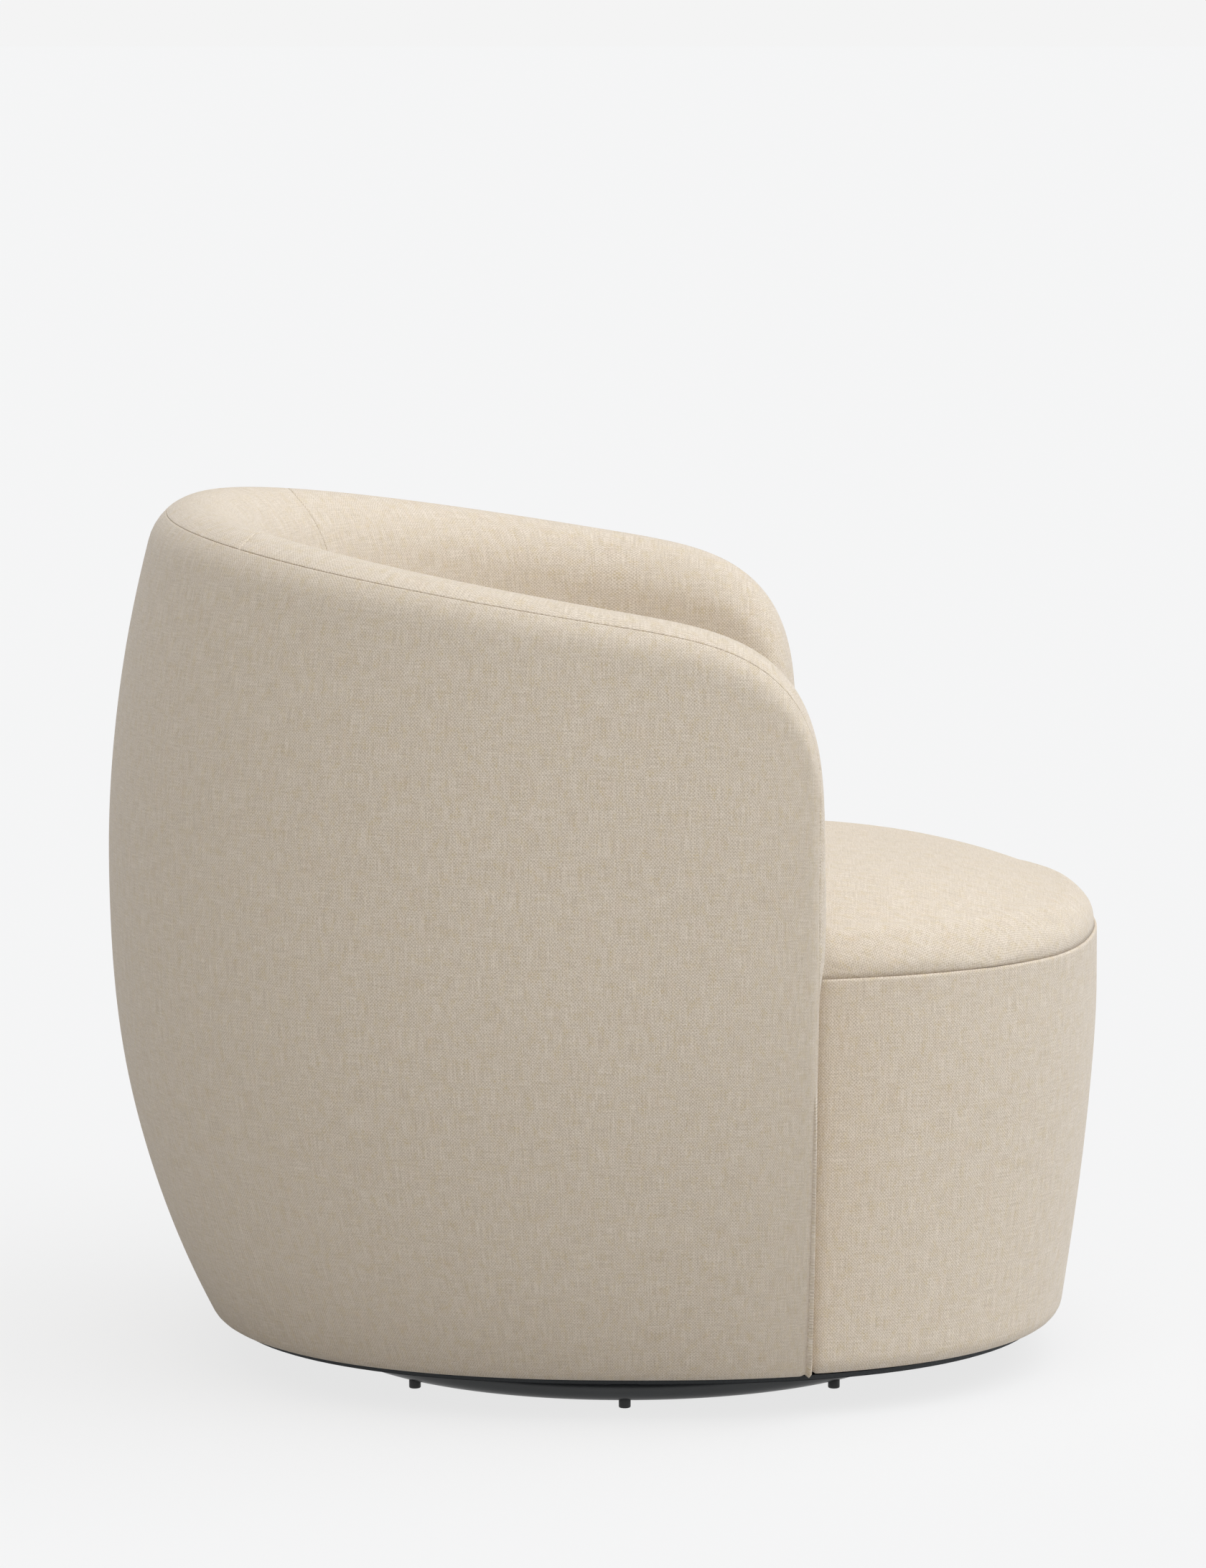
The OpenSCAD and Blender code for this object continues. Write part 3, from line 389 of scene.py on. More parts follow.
print("crown height at stations 0, 1, 1.7 and 2:",
      [round(crown_height(s)) for s in (0, 1, 1.7, 2)], "mm")

# %% [markdown]
# ## Where the rows and columns of cloth go
#
# Each panel starts as a flat grid of squares. A seam needs rows a fraction of a millimetre apart to
# roll over neatly, and the open cloth needs one every seven millimetres or so. The helper below walks
# along a curve of the drawing and picks places by their distance along it, close together at the ends
# that carry a seam and even in between.

# %% Spacing along a curve
seam_steps = (0, 0.25, 0.6, 1.1, 1.8, 3.0)     # millimetres from a seam


def measured(curve, start, end, samples=400):
    """Values from start to end and how far along the curve each one is, in millimetres."""
    values = [mix(start, end, i / samples) for i in range(samples + 1)]
    points = [Vector(curve(v)) for v in values]
    run = [0.0]
    for before, after in zip(points, points[1:]):
        run.append(run[-1] + (after - before).length)
    return values, run


def run_at(run, share):
    """How far along a measured curve that share of its samples reaches, in millimetres."""
    place = share * (len(run) - 1)
    low = min(int(place), len(run) - 2)
    return mix(run[low], run[low + 1], place - low)


def at_distances(values, run, distances):
    """The values found at those distances along the curve."""
    found, i = [], 0
    for distance in distances:
        while i < len(run) - 2 and run[i + 1] < distance:
            i += 1
        step = run[i + 1] - run[i]
        share = (distance - run[i]) / step if step > 0 else 0
        found.append(mix(values[i], values[i + 1], min(1.0, max(0.0, share))))
    return found


def spaced(curve, start, end, step, seam_at_start=False, seam_at_end=False):
    values, run = measured(curve, start, end)
    length = run[-1]
    first = list(seam_steps) if seam_at_start else [0]
    last = [length - s for s in reversed(seam_steps)] if seam_at_end else [length]
    count = max(2, round((last[0] - first[-1]) / step))
    middle = [mix(first[-1], last[0], i / count) for i in range(1, count)]
    return at_distances(values, run, first + middle + last)


print("rows and columns beside a seam lie", seam_steps, "mm from it")


# %% Rows over the crown
def crown_walk(turn):
    """Over the crown, at a station whose section is typical of them all."""
    return crown_point(0.6, turn, 0)


crown_outer_turns = spaced(crown_walk, 0, seam_turn, 6.5, seam_at_end=True)
crown_inner_turns = spaced(crown_walk, seam_turn, 180, 6.5, seam_at_start=True)
crown_lengths = measured(crown_walk, 0, 180)[1]


def crown_run(turn):
    """How far over the crown a turn lies from the outer wall, in millimetres."""
    return run_at(crown_lengths, turn / 180)


print(len(crown_outer_turns), "rows outside the crown seam and", len(crown_inner_turns), "inside it;",
      "the crown is", round(crown_lengths[-1]), "mm of cloth")


# %% Stations for the walls
def wall_walk(station):
    """A point whose travel counts the wall's length and the crown's fall together."""
    x, y, _ = shell_point(station, belly_z, 0, 0)
    return (x, y, crown_height(station))


def both_sides(half):
    """A list that starts in the middle, with its mirror image before it."""
    return [-value for value in reversed(half[1:])] + half


rear_stations = spaced(wall_walk, 0, back_seam_station, 7, seam_at_end=True)
side_stations = spaced(wall_walk, back_seam_station, front_seam_station, 6, seam_at_start=True,
                       seam_at_end=True)
front_edge_stations = [mix(front_seam_station, 2, s) for s in (0.08, 0.2, 0.38, 0.58, 0.78, 0.92, 1)]
outer_stations = both_sides(rear_stations[:-len(seam_steps)] + side_stations[len(seam_steps):])
back_stations = both_sides(rear_stations)
print(len(outer_stations), "columns outside,", len(back_stations), "on the back")


back_seam_ends = (0.43, 0.362)     # its station at the crown's seam, and on the inner wall
back_seam_drift = 100              # degrees of turn over the crown between the two


def back_seam_at(turn):
    """The seam between the back and an arm slants: it runs towards the middle as it goes inwards."""
    return mix(*back_seam_ends, eased(turn - seam_turn, back_seam_drift))


def side_station_at(station, turn):
    """A column of an arm, moved so that the first one follows the slanting seam."""
    moved = 1 - eased(station - back_seam_station, 0.4)
    return station + (back_seam_at(turn) - back_seam_station) * moved


print("the back's seam slants from station", back_seam_at(seam_turn), "to", back_seam_at(180))

# %% Heights for the walls
hem_turns = (0, 18, 36, 54, 72, 90)
hem_heights = [foot_z + hem_radius * (1 - math.cos(math.radians(t))) for t in hem_turns]
low_rows, upper_rows = 40, 42
low_heights = hem_heights + [mix(foot_z + hem_radius, tuck_z, i / low_rows) for i in range(1, low_rows + 1)]


def upper_height(station, row):
    """Row 0 is at the tuck and the last row is where the crown springs."""
    return mix(tuck_z, crown_height(station) - crown_dome, row / upper_rows)


print(len(low_heights), "rows below the tuck and", upper_rows, "above it")

# %% [markdown]
# ## From a flat grid to a panel of cloth
#
# `bmesh.ops.create_grid` makes the flat panel. Every crossing is then moved to its place on the
# barrel, and the cloth's own flat coordinates go into a UV map in metres: across is the distance round
# the barrel and up is the distance up the wall. A crossing whose place is `None` isn't part of the
# panel and is cut away. Points that meet, such as the middle of an arm's front, are welded.

# %% Make a panel
front_facing = 0.7        # how squarely a square must look forwards to count as front
front_y = -0.06           # and how far forwards it must lie, in metres
weld_distance = 0.00004


def panel(columns, rows, placed, flat_front=False):
    """placed(column, row) gives (point in mm, (u, v) in mm, hold from 0 to 1), or None.

    With flat_front, squares that look forwards take their flat coordinates from the front instead.
    """
    cloth = bmesh.new()
    bmesh.ops.create_grid(cloth, x_segments=columns - 1, y_segments=rows - 1, size=0.5)
    uv_layer = cloth.loops.layers.uv.new("cloth")
    hold_layer = cloth.verts.layers.float.new("hold")
    flat, cut = {}, []
    for vert in cloth.verts:
        column = round((vert.co.x + 0.5) * (columns - 1))
        row = round((vert.co.y + 0.5) * (rows - 1))
        found = placed(column, row)
        if found is None:
            cut.append(vert)
            continue
        point, spot, hold = found
        vert.co = [value / 1000 for value in point]
        vert[hold_layer] = hold
        flat[vert] = [value / 1000 for value in spot]
    bmesh.ops.delete(cloth, geom=cut, context="VERTS")
    cloth.normal_update()
    for face in cloth.faces:
        face.smooth = True
        in_front = abs(face.normal.y) > front_facing and face.calc_center_median().y < front_y
        from_front = flat_front and in_front
        for loop in face.loops:
            loop[uv_layer].uv = (loop.vert.co.x, loop.vert.co.z) if from_front else flat[loop.vert]
    bmesh.ops.remove_doubles(cloth, verts=cloth.verts, dist=weld_distance)
    bmesh.ops.dissolve_degenerate(cloth, edges=cloth.edges, dist=weld_distance / 2)
    return cloth


def turned_out(cloth, towards):
    """Turns the faces so that the one nearest to a point, in metres, looks at it."""
    bmesh.ops.recalc_face_normals(cloth, faces=cloth.faces)
    towards = Vector(towards)
    nearest = min(cloth.faces, key=lambda f: (f.calc_center_median() - towards).length)
    if nearest.normal.dot(towards - nearest.calc_center_median()) < 0:
        bmesh.ops.reverse_faces(cloth, faces=cloth.faces)
    return cloth


def finished(name, shape, finish, body):
    """A bmesh as an object at the origin, with its finish, riding on a body."""
    mesh = bpy.data.meshes.new(name)
    shape.to_mesh(mesh)
    shape.free()
    piece = in_scene(name, mesh)
    mesh.materials.append(finish)
    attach(piece, body)
    return piece


print("panels carry their hold on the vertices, for the cloth simulation")

# %% [markdown]
# ## How the padding swells
#
# Under the linen lies foam and wadding, so the cloth stands proud between its seams and is pulled down
# hard at each seam. Moving vertices by a formula gives a swelling that is too even. Blender's Cloth
# does what the real cloth does: the panel is held where it is sewn (the hold of each vertex is its pin
# weight), gravity is off, and air pressure pushes it out for twenty frames. Its travel is then capped,
# because the frame behind it sets the chair's size.

# %% Stretch the cloth
swell_pressure = 4.0
swell_frames = 20
smoothing_rounds = 6      # wadding under the cloth evens out the finest wrinkles
cloth_shrink = 0.02       # the cover is cut a little small, so that it stays taut


def stretched_cloth(piece, holds):
    """Cloth on a panel, with pressure behind it and each vertex held as firmly as its hold says."""
    sewn = piece.vertex_groups.new(name="sewn")
    for index, hold in enumerate(holds):
        if hold > 0:
            sewn.add([index], hold, "REPLACE")
    cloth = piece.modifiers.new("cloth", "CLOTH")
    cloth.settings.quality = 5
    cloth.settings.mass = 0.35
    cloth.settings.tension_stiffness = 18
    cloth.settings.compression_stiffness = 14
    cloth.settings.shear_stiffness = 8
    cloth.settings.bending_stiffness = 0.8
    cloth.settings.shrink_min = cloth_shrink
    cloth.settings.use_pressure = True
    cloth.settings.uniform_pressure_force = swell_pressure
    cloth.settings.effector_weights.gravity = 0
    cloth.settings.vertex_group_mass = "sewn"
    cloth.collision_settings.use_collision = False
    cloth.point_cache.frame_start = 1
    cloth.point_cache.frame_end = swell_frames
    return cloth


print("pressure", swell_pressure, "for", swell_frames, "frames")


# %% Swell a panel with the simulation
def swell(piece, travel_mm):
    """Runs Cloth on the panel, keeps its result within a travel, and leaves no Cloth on the piece."""
    mesh, scene = piece.data, bpy.context.scene
    start = [vert.co.copy() for vert in mesh.vertices]
    holds = [item.value for item in mesh.attributes["hold"].data]
    cloth = stretched_cloth(piece, holds)
    for step in range(1, swell_frames + 1):
        scene.frame_set(step)
    swollen = piece.evaluated_get(bpy.context.evaluated_depsgraph_get())
    end = [vert.co.copy() for vert in swollen.data.vertices]
    piece.modifiers.remove(cloth)
    piece.vertex_groups.clear()
    scene.frame_set(1)
    travel = travel_mm / 1000
    pulled = bmesh.new()
    pulled.from_mesh(mesh)
    pulled.verts.ensure_lookup_table()
    for index, (before, after) in enumerate(zip(start, end)):
        way = after - before
        kept = travel * math.tanh(way.length / travel)
        pulled.verts[index].co = before + way * (kept / way.length if way.length > 1e-9 else 0)
    free = [vert for vert, hold in zip(pulled.verts, holds) if hold < 0.5]
    for _ in range(smoothing_rounds):
        bmesh.ops.smooth_vert(pulled, verts=free, factor=0.5,
                              use_axis_x=True, use_axis_y=True, use_axis_z=True)
    furthest = max((vert.co - before).length for vert, before in zip(pulled.verts, start))
    pulled.to_mesh(mesh)
    pulled.free()
    return furthest


cloth_thickness = 0.0032


def cloth_layers(piece, smooth_levels):
    """One subdivision for the soft pads, then the linen's and wadding's thickness, inwards."""
    if smooth_levels:
        softened = piece.modifiers.new("softened", "SUBSURF")
        softened.levels = softened.render_levels = smooth_levels
    layer = piece.modifiers.new("layer", "SOLIDIFY")
    layer.thickness = cloth_thickness
    layer.offset = -1
    layer.use_rim = True


print("the linen and its wadding are", cloth_thickness * 1000, "mm thick")


# %% [markdown]
# ## Hand-pulled cloth is never quite even
#
# A person pulls each cover tight over the wadding, which leaves it a little high here and low there.
# The drawing is perfectly smooth and would shine like a moulding, so each panel is lifted by a slow,
# seeded noise of less than a millimetre, fading out at its seams.

# %% Seam rolls and unevenness
seam_radius = 1.0
back_seam_radius = 2.1  # the upright seams of the back are pulled in deeper
seam_tuck = 0.36         # the outer cover goes this far under the inner ones, so no seam gapes
hollow_under_swell = 3.0


def seam_dip(distance, radius=seam_radius):
    """How deep the cloth lies at a distance from its seam."""
    return curled(max(0.0, distance), radius)


def unevenness(point, height=0.9, size=95.0):
    """The slow rise and fall of hand-pulled cloth at a point, in millimetres."""
    return height * noise.noise(Vector(point) / size)


def open_share(to_seam, below_crown, above_tuck):
    """0 where the cloth is sewn or tucked in, and 1 out in the open, where the padding swells it."""
    margins = (to_seam - 4, 60), (below_crown - 6, 70), (above_tuck - 25, 60)
    return min(eased(distance, length) for distance, length in margins)


def held(openness, firmness=6):
    """How firmly the simulation holds a crossing: fully at a seam, and not at all in the open."""
    return 1.0 - min(1.0, openness * firmness)


print("cloth one millimetre from a seam lies", round(seam_dip(1), 2), "mm deep")

# %% [markdown]
# ## Where an arm meets the seat border
#
# Below the seat the border is pulled tight against the arm's front, which gives way by a few
# millimetres, so only one thin dark line shows between them. The line runs slightly backwards on its
# way down, and both hems round up where it ends. The covers share these three small sums.

# %% The arm front below the seat
arm_squeeze = 4.6
squeeze_below, squeeze_run = 6, 44      # it starts under the seat's seam and ends above it
front_seam_slant = 4.0
corner_lift, corner_reach, corner_height = 3.2, 7, 24


def squeezed(z):
    """Below the seat's seam the border presses the arm's front back to its outer seam."""
    return arm_squeeze * (1 - eased(z - seat_seam_z + squeeze_below, squeeze_run))


def slanted(z):
    """The front seam runs a little backwards on its way down to the hem."""
    return front_seam_slant * max(0.0, seat_seam_z - z) / (seat_seam_z - foot_z)


def hem_lift(to_corner, z):
    """Both hems round up where the arm meets the border."""
    near = max(0.0, 1 - to_corner / corner_reach) ** 2
    return corner_lift * near * (1 - eased(z - foot_z, corner_height))


print("the arm's front is squeezed back", arm_squeeze, "mm below the seat")


# %% [markdown]
# ## The outer cover
#
# One wide piece of linen goes round the outside of the barrel from one arm front to the other. It is
# stretched over bent board, rolls in at the hem and runs up to the thin seam on the outside of the
# crown. It isn't stuffed, so it isn't simulated: the drawing gives its shape.

# %% Place the outer cover
outer_rows = len(low_heights) + upper_rows + len(crown_outer_turns) - 1
wall_lengths = measured(wall_walk, 0, front_seam_station)[1]


def station_run(station):
    """Distance round the barrel from the middle of the back, in millimetres."""
    return math.copysign(run_at(wall_lengths, min(1.0, abs(station) / front_seam_station)), station)


def crown_pitch(station):
    """Millimetres of crown for each degree of turn at the seam."""
    return (Vector(crown_point(station, seam_turn + 1, 0))
            - Vector(crown_point(station, seam_turn - 1, 0))).length / 2


def wall_row(station, row, depth, across):
    """Rows up a wall: the low heights, and then the heights that follow the crown."""
    if row < len(low_heights):
        z = low_heights[row]
    else:
        z = upper_height(station, row - len(low_heights) + 1)
    return shell_point(station, z, across, depth)


def outer_cover_place(column, row):
    station = outer_stations[column]
    to_front = (front_seam_station - abs(station)) * arm_length
    if to_front < 0.001:
        station += math.copysign(seam_tuck / arm_length, station)
    wall_rows = len(low_heights) + upper_rows
    if row < wall_rows:
        depth = seam_dip(to_front)
        point = wall_row(station, row, depth, 0)
    else:
        turn = crown_outer_turns[row - wall_rows + 1]
        to_crown = (seam_turn - turn) * crown_pitch(station)
        depth = max(seam_dip(to_front), seam_dip(to_crown))
        tuck = seam_tuck / crown_pitch(station) if row == outer_rows - 1 else 0.0
        point = crown_point(station, turn + tuck, depth + tuck / 4)
    near_front = 1 - eased(to_front, 90)
    point = (point[0], point[1] + slanted(point[2]) * near_front, point[2] + hem_lift(to_front, point[2]))
    calm = eased(to_front, 60) * eased(point[2] - foot_z, 40)
    lift = unevenness(point, 0.5, 120) * calm
    outwards = Vector((point[0], point[1], 0)).normalized() * lift
    up = point[2] if row < wall_rows else upper_height(station, upper_rows) + crown_run(turn)
    return (Vector(point) + outwards, (station_run(station), up), 1.0)


outer_cloth = turned_out(panel(len(outer_stations), outer_rows, outer_cover_place), (0, 1, 0.4))
print("outer cover:", len(outer_cloth.faces), "squares")

# %% Dress the outer cover
outer_cover = finished("outer_cover_linen", outer_cloth, linen, "chair")
cloth_layers(outer_cover, 0)
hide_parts("outer_cover")
print("outer cover is", [round(d, 3) for d in outer_cover.dimensions], "m")

# %% [markdown]
# ## The inner back
#
# The inner back is a padded panel from below the seat up over the crown to the same thin seam. Two
# upright seams, four tenths of the way round to each side, join it to the arms. Foam lies behind it, so
# it starts a few millimetres low between its seams and the simulation swells it out.

# %% Place the inner back
inner_rows = len(crown_inner_turns) + upper_rows
rear_pitch = 458.0      # millimetres of wall for each station of the back


def inner_turn(row):
    """The turn round the crown of a row of the inner back: 180 all the way up the wall."""
    return 180.0 if row <= upper_rows else list(reversed(crown_inner_turns))[row - upper_rows]


def back_place(column, row):
    turn = inner_turn(row)
    share = back_stations[column] / back_seam_station
    station = share * back_seam_at(turn)
    to_side = (1 - abs(share)) * back_seam_at(turn) * rear_pitch
    z = upper_height(station, min(row, upper_rows))
    below_crown = upper_height(station, upper_rows) - z
    open_cloth = open_share(to_side, below_crown, z - tuck_z)
    depth = seam_dip(to_side, back_seam_radius) + hollow_under_swell * open_cloth
    if row <= upper_rows:
        point = Vector(inner_wall_point(station, z, depth))
    else:
        to_crown = crown_run(turn) - crown_run(seam_turn)
        point = Vector(crown_point(station, turn, max(depth, seam_dip(to_crown))))
    point += Vector((-point.x, -point.y, 0)).normalized() * unevenness(point) * open_cloth
    flat_up = z - tuck_z + crown_run(180) - crown_run(turn)
    return (point, (station * rear_pitch, flat_up), held(open_cloth))


back_cloth = turned_out(panel(len(back_stations), inner_rows, back_place), (0, -0.2, 0.5))
print("inner back:", len(back_cloth.faces), "squares")

# %% Swell and dress the inner back
back_pad = finished("inner_back_pad", back_cloth, linen, "chair")
print("inner back swelled by", round(swell(back_pad, 5.0) * 1000, 1), "mm")
cloth_layers(back_pad, 1)
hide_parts("back_cover", "back_foam")

# %% [markdown]
# ## The arms
#
# Each arm cover starts at the back's upright seam, runs forward along the inner wall, rolls over the
# crown, and then turns round the arm's front to a seam on the outside, four millimetres behind it. It
# is one grid: the columns go along the arm and then on across its front face towards the middle line,
# and the rows go up the outside, over the crown and down the inside. What lies behind the outer seam
# is cut away, because the outer cover takes its place.

# %% Place an arm
face_swell = 1.2         # the padding stands this proud in the front face
face_shares = (0.035, 0.09, 0.17, 0.28, 0.4, 0.54, 0.68, 0.82, 0.92, 1.0)
arm_stations = side_stations + front_edge_stations
arm_columns = len(arm_stations) + len(face_shares)
seam_column = len(side_stations) - 1
outer_leg_rows = len(low_heights) + upper_rows
arm_turns = crown_outer_turns[1:] + crown_inner_turns[1:]
arm_rows = outer_leg_rows + len(arm_turns) + upper_rows + len(low_heights) - 1
crown_seam_row = outer_leg_rows + len(crown_outer_turns) - 2
behind_border_x = inner_plan[0] - tuck_reaches[1]
arm_flat_start = 517     # the arm's flat coordinates start here, in millimetres, beside the back's


def leg_height(row, station):
    """The height of a row on the outer leg, or of its twin on the inner leg."""
    return low_heights[row] if row < len(low_heights) else upper_height(station, row - len(low_heights) + 1)


def arm_loop(station, row, depth):
    """A point of the arm's section at a station; None where the section has no cloth."""
    if row < outer_leg_rows:
        return shell_point(station, leg_height(row, station), 0, depth)
    if row < outer_leg_rows + len(arm_turns):
        return crown_point(station, arm_turns[row - outer_leg_rows], depth)
    twin = arm_rows - 1 - row
    z = leg_height(twin, station)
    if z >= low_heights[-1]:
        return inner_wall_point(station, z, depth)
    return (behind_border_x, depth - widest_line_forward - arm_length, z) if station >= 2 else None


def face_middle(row):
    """Where a row of the front face ends: on the face's middle line."""
    twin = min(row, arm_rows - 1 - row)
    z = leg_height(min(twin, outer_leg_rows - 1), 2)
    outside = shell_point(2, max(z, foot_z), 0, 0)[0]
    inside = inner_axes(tuck_z)[0]
    wide = shell_point(2, tuck_z, 0, 0)[0]
    middle = (outside + inside) / 2
    if z < tuck_z:
        narrow = max(0.03, (outside - behind_border_x) / (wide - behind_border_x))
        middle = outside - (wide - inside) / 2 * narrow
    return Vector((middle, -widest_line_forward - arm_length, z))


print("each arm:", arm_columns, "columns and", arm_rows, "rows before cutting")


# %% Seams of an arm
out_of_reach = 200.0      # a distance to a seam that doesn't reach this part of the cover


def arm_turn(row):
    """The turn round the crown of a row of an arm: 0 on the outer leg and 180 on the inner one."""
    if row < outer_leg_rows:
        return 0.0
    return arm_turns[row - outer_leg_rows] if row < outer_leg_rows + len(arm_turns) else 180.0


def arm_seam_distances(station, row):
    """Distances to the back seam, and to the nearer of the crown seam and the outer front seam."""
    to_back = (station - back_seam_at(arm_turn(row))) * rear_pitch
    to_front = (station - front_seam_station) * arm_length
    if row < crown_seam_row:
        return out_of_reach, max(0.0, to_front)
    to_crown = out_of_reach
    if row < outer_leg_rows + len(arm_turns):
        to_crown = crown_run(arm_turn(row)) - crown_run(seam_turn)
    return to_back, math.hypot(to_crown, to_front) if to_front > 0 else to_crown


def arm_place(side):
    def placed(column, row):
        on_face = column >= len(arm_stations)
        turn = arm_turn(row)
        station = 2 if on_face else side_station_at(arm_stations[column], turn)
        if column < seam_column and row < crown_seam_row:
            return None
        to_back, to_edge = arm_seam_distances(station, row)
        distance = min(to_back, to_edge)
        twin = arm_rows - 1 - row
        height = leg_height(min(row, twin, outer_leg_rows - 1), station)
        below_crown = upper_height(station, upper_rows) - height
        to_end = arm_length - forward(station, 0)
        open_cloth = 0.0
        if turn > 170 and not on_face:
            open_cloth = min(open_share(distance, below_crown, height - tuck_z), eased(to_end - 30, 60))
        dip = max(seam_dip(to_back, back_seam_radius), seam_dip(to_edge))
        start = arm_loop(station, row, 0.0 if on_face else dip + hollow_under_swell * open_cloth)
        if start is None:
            return None
        point = Vector(start)
        face_share = face_shares[column - len(arm_stations)] if on_face else 0.0
        point = point.lerp(face_middle(row), face_share)
        if station > front_seam_station:
            end_share = min(1.0, (station - front_seam_station) / (2 - front_seam_station))
            point.y += curled(max(0.0, point.z - foot_z), hem_radius) * end_share
            point.y += squeezed(point.z) * end_share + slanted(point.z)
            point.z += hem_lift(0, point.z)
            padded = math.sin(math.pi * min(1.0, face_share)) * eased(point.z - seat_seam_z - 20, 40)
            point.y -= face_swell * padded
        along = rear_pitch * (min(station, 1) - back_seam_station) + max(0.0, station - 1) * arm_length
        flat = (arm_flat_start + along, height - tuck_z + crown_run(180) - crown_run(turn))
        point += Vector((-1, 0, 0)) * unevenness((side * point.x, point.y, point.z)) * open_cloth
        return (Vector((side * point.x, point.y, point.z)), (side * flat[0], flat[1]), held(open_cloth))
    return placed


print("the outer front seam is at column", seam_column)

# %% Swell and dress both arms
for side, name in ((1, "left"), (-1, "right")):
    cloth = turned_out(panel(arm_columns, arm_rows, arm_place(side), flat_front=True),
                       (side * 0.36, -0.6, 0.4))
    squares = len(cloth.faces)
    arm_pad = finished(f"{name}_arm_pad", cloth, linen, "chair")
    reach = swell(arm_pad, 5.0)
    cloth_layers(arm_pad, 1)
    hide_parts(f"{name}_arm_cover", f"{name}_arm_foam")
    print(name, "arm:", squares, "squares, swelled by", round(reach * 1000, 1), "mm")

# %% [markdown]
# ## The seat
#
# The seat is a round cushion, sewn in place and crowned: highest in its middle and rolling down to a
# seam all round, which the crown draws up a little in the middle of the front. A disc made with rings
# has a pole in the middle where the weave would pinch, so a square grid is pressed into the rounded
# outline instead. The weave then runs straight over the whole seat, as one piece of cloth does.

# %% The seat's drawing
seat_flatness, seat_roundness = 4.08, 1.75      # how level its top is, and how round its edge
seat_hem_radius = 14
seat_half_width, seat_front_reach, seat_foot_reach = 297, 388, 360
seat_front_power = 1.5             # how late the border draws in towards its foot
seat_back_gap = 0.6
seam_rise, seam_rise_width = 7.5, 170


def seat_front(z):
    drop = max(0.0, seat_full_z - z) / (seat_full_z - foot_z)
    return mix(seat_front_reach, seat_foot_reach, drop ** seat_front_power)


def seat_axes(z):
    hem = curled(max(0.0, z - foot_z), seat_hem_radius)
    back_reach = inner_axes(seat_seam_z)[1] - seat_back_gap
    return (seat_half_width - hem, back_reach - hem, seat_front(z) - widest_line_forward - hem)


def seam_lift(point):
    """The crowned seat draws its seam up a little in the middle of the front."""
    in_front = (1 - eased(abs(point.x), seam_rise_width)) * eased(-point.y - 250, 100)
    fade = 90 if point.z < seat_seam_z else 60
    return seam_rise * in_front * (1 - eased(abs(point.z - seat_seam_z), fade))


def seat_dome(turn, share, depth):
    rise = (seat_crown_z - seat_seam_z - depth) * (1 - share ** seat_flatness) ** (1 / seat_roundness)
    axes = [(a - depth) * share for a in seat_axes(seat_seam_z)]
    return (*plan_point(1, turn, axes), seat_seam_z + rise)


print("seat is", 2 * seat_axes(seat_seam_z)[0], "mm wide at its seam")

# %% Place the seat
seat_columns, seat_rows_deep = 85, 95
seat_roll = 2.2
pocket_place, pocket_radius, pocket_depth = (296, -150), 26, 6.0      # pulled in at each arm's front


def seat_cloth_run(turn, share, steps=16):
    """How much cloth lies between the seat's middle and a point of its dome, in millimetres."""
    points = [Vector(seat_dome(turn, share * i / steps, 0)) for i in range(steps + 1)]
    return sum((after - before).length for before, after in zip(points, points[1:]))


def edge_spaced(index, count):
    """From -1 to 1, closer together towards both ends, where the crown turns down to its seam."""
    even = 2 * index / (count - 1) - 1
    return math.sin(even * math.pi / 2) * 0.62 + even * 0.38


def seat_place(column, row):
    a, b = edge_spaced(column, seat_columns), edge_spaced(row, seat_rows_deep)
    across, along = a * math.sqrt(1 - b * b / 2), b * math.sqrt(1 - a * a / 2)
    share = min(1.0, math.hypot(across, along))
    turn = math.degrees(math.atan2(along, across)) if share > 1e-6 else 0.0
    point = Vector(seat_dome(turn, share, 0))
    to_seam = point.z - seat_seam_z
    open_cloth = eased(to_seam - 32, 40)
    depth = seam_dip(to_seam, seat_roll) + hollow_under_swell * open_cloth
    point = Vector(seat_dome(turn, share, depth))
    point.z += unevenness(point, 0.8, 120) * open_cloth
    pocket = 1 - eased(math.hypot(abs(point.x) - pocket_place[0], point.y - pocket_place[1]), pocket_radius)
    point.x -= math.copysign(pocket_depth, point.x) * pocket * eased(to_seam, 6)
    point.z -= pocket_depth / 2 * pocket * eased(to_seam, 12)
    point.z += seam_lift(point)
    run = seat_cloth_run(turn, share)
    way = Vector(seat_dome(turn, 1, 0)).xy + Vector((0, widest_line_forward))
    way = way.normalized() * run if share > 1e-6 else Vector((0, 0))
    return (point, tuple(way), held(open_cloth, 5))


seat_cloth = turned_out(panel(seat_columns, seat_rows_deep, seat_place), (0, 0, 0.8))
print("seat:", len(seat_cloth.faces), "squares")

# %% Swell and dress the seat
seat_pad = finished("seat_pad", seat_cloth, linen, "chair")
print("seat swelled by", round(swell(seat_pad, 6.0) * 1000, 1), "mm")
cloth_layers(seat_pad, 1)
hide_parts("seat_top_cover", "seat_foam")

# %% [markdown]
# ## The seat border
#
# A band of the same linen stands round the front of the seat, from the seat's seam down to the hem,
# and turns in behind each arm front. It lies on a bent board with little padding, so it keeps the
# drawing's shape, with a rolled top edge and a rolled hem.

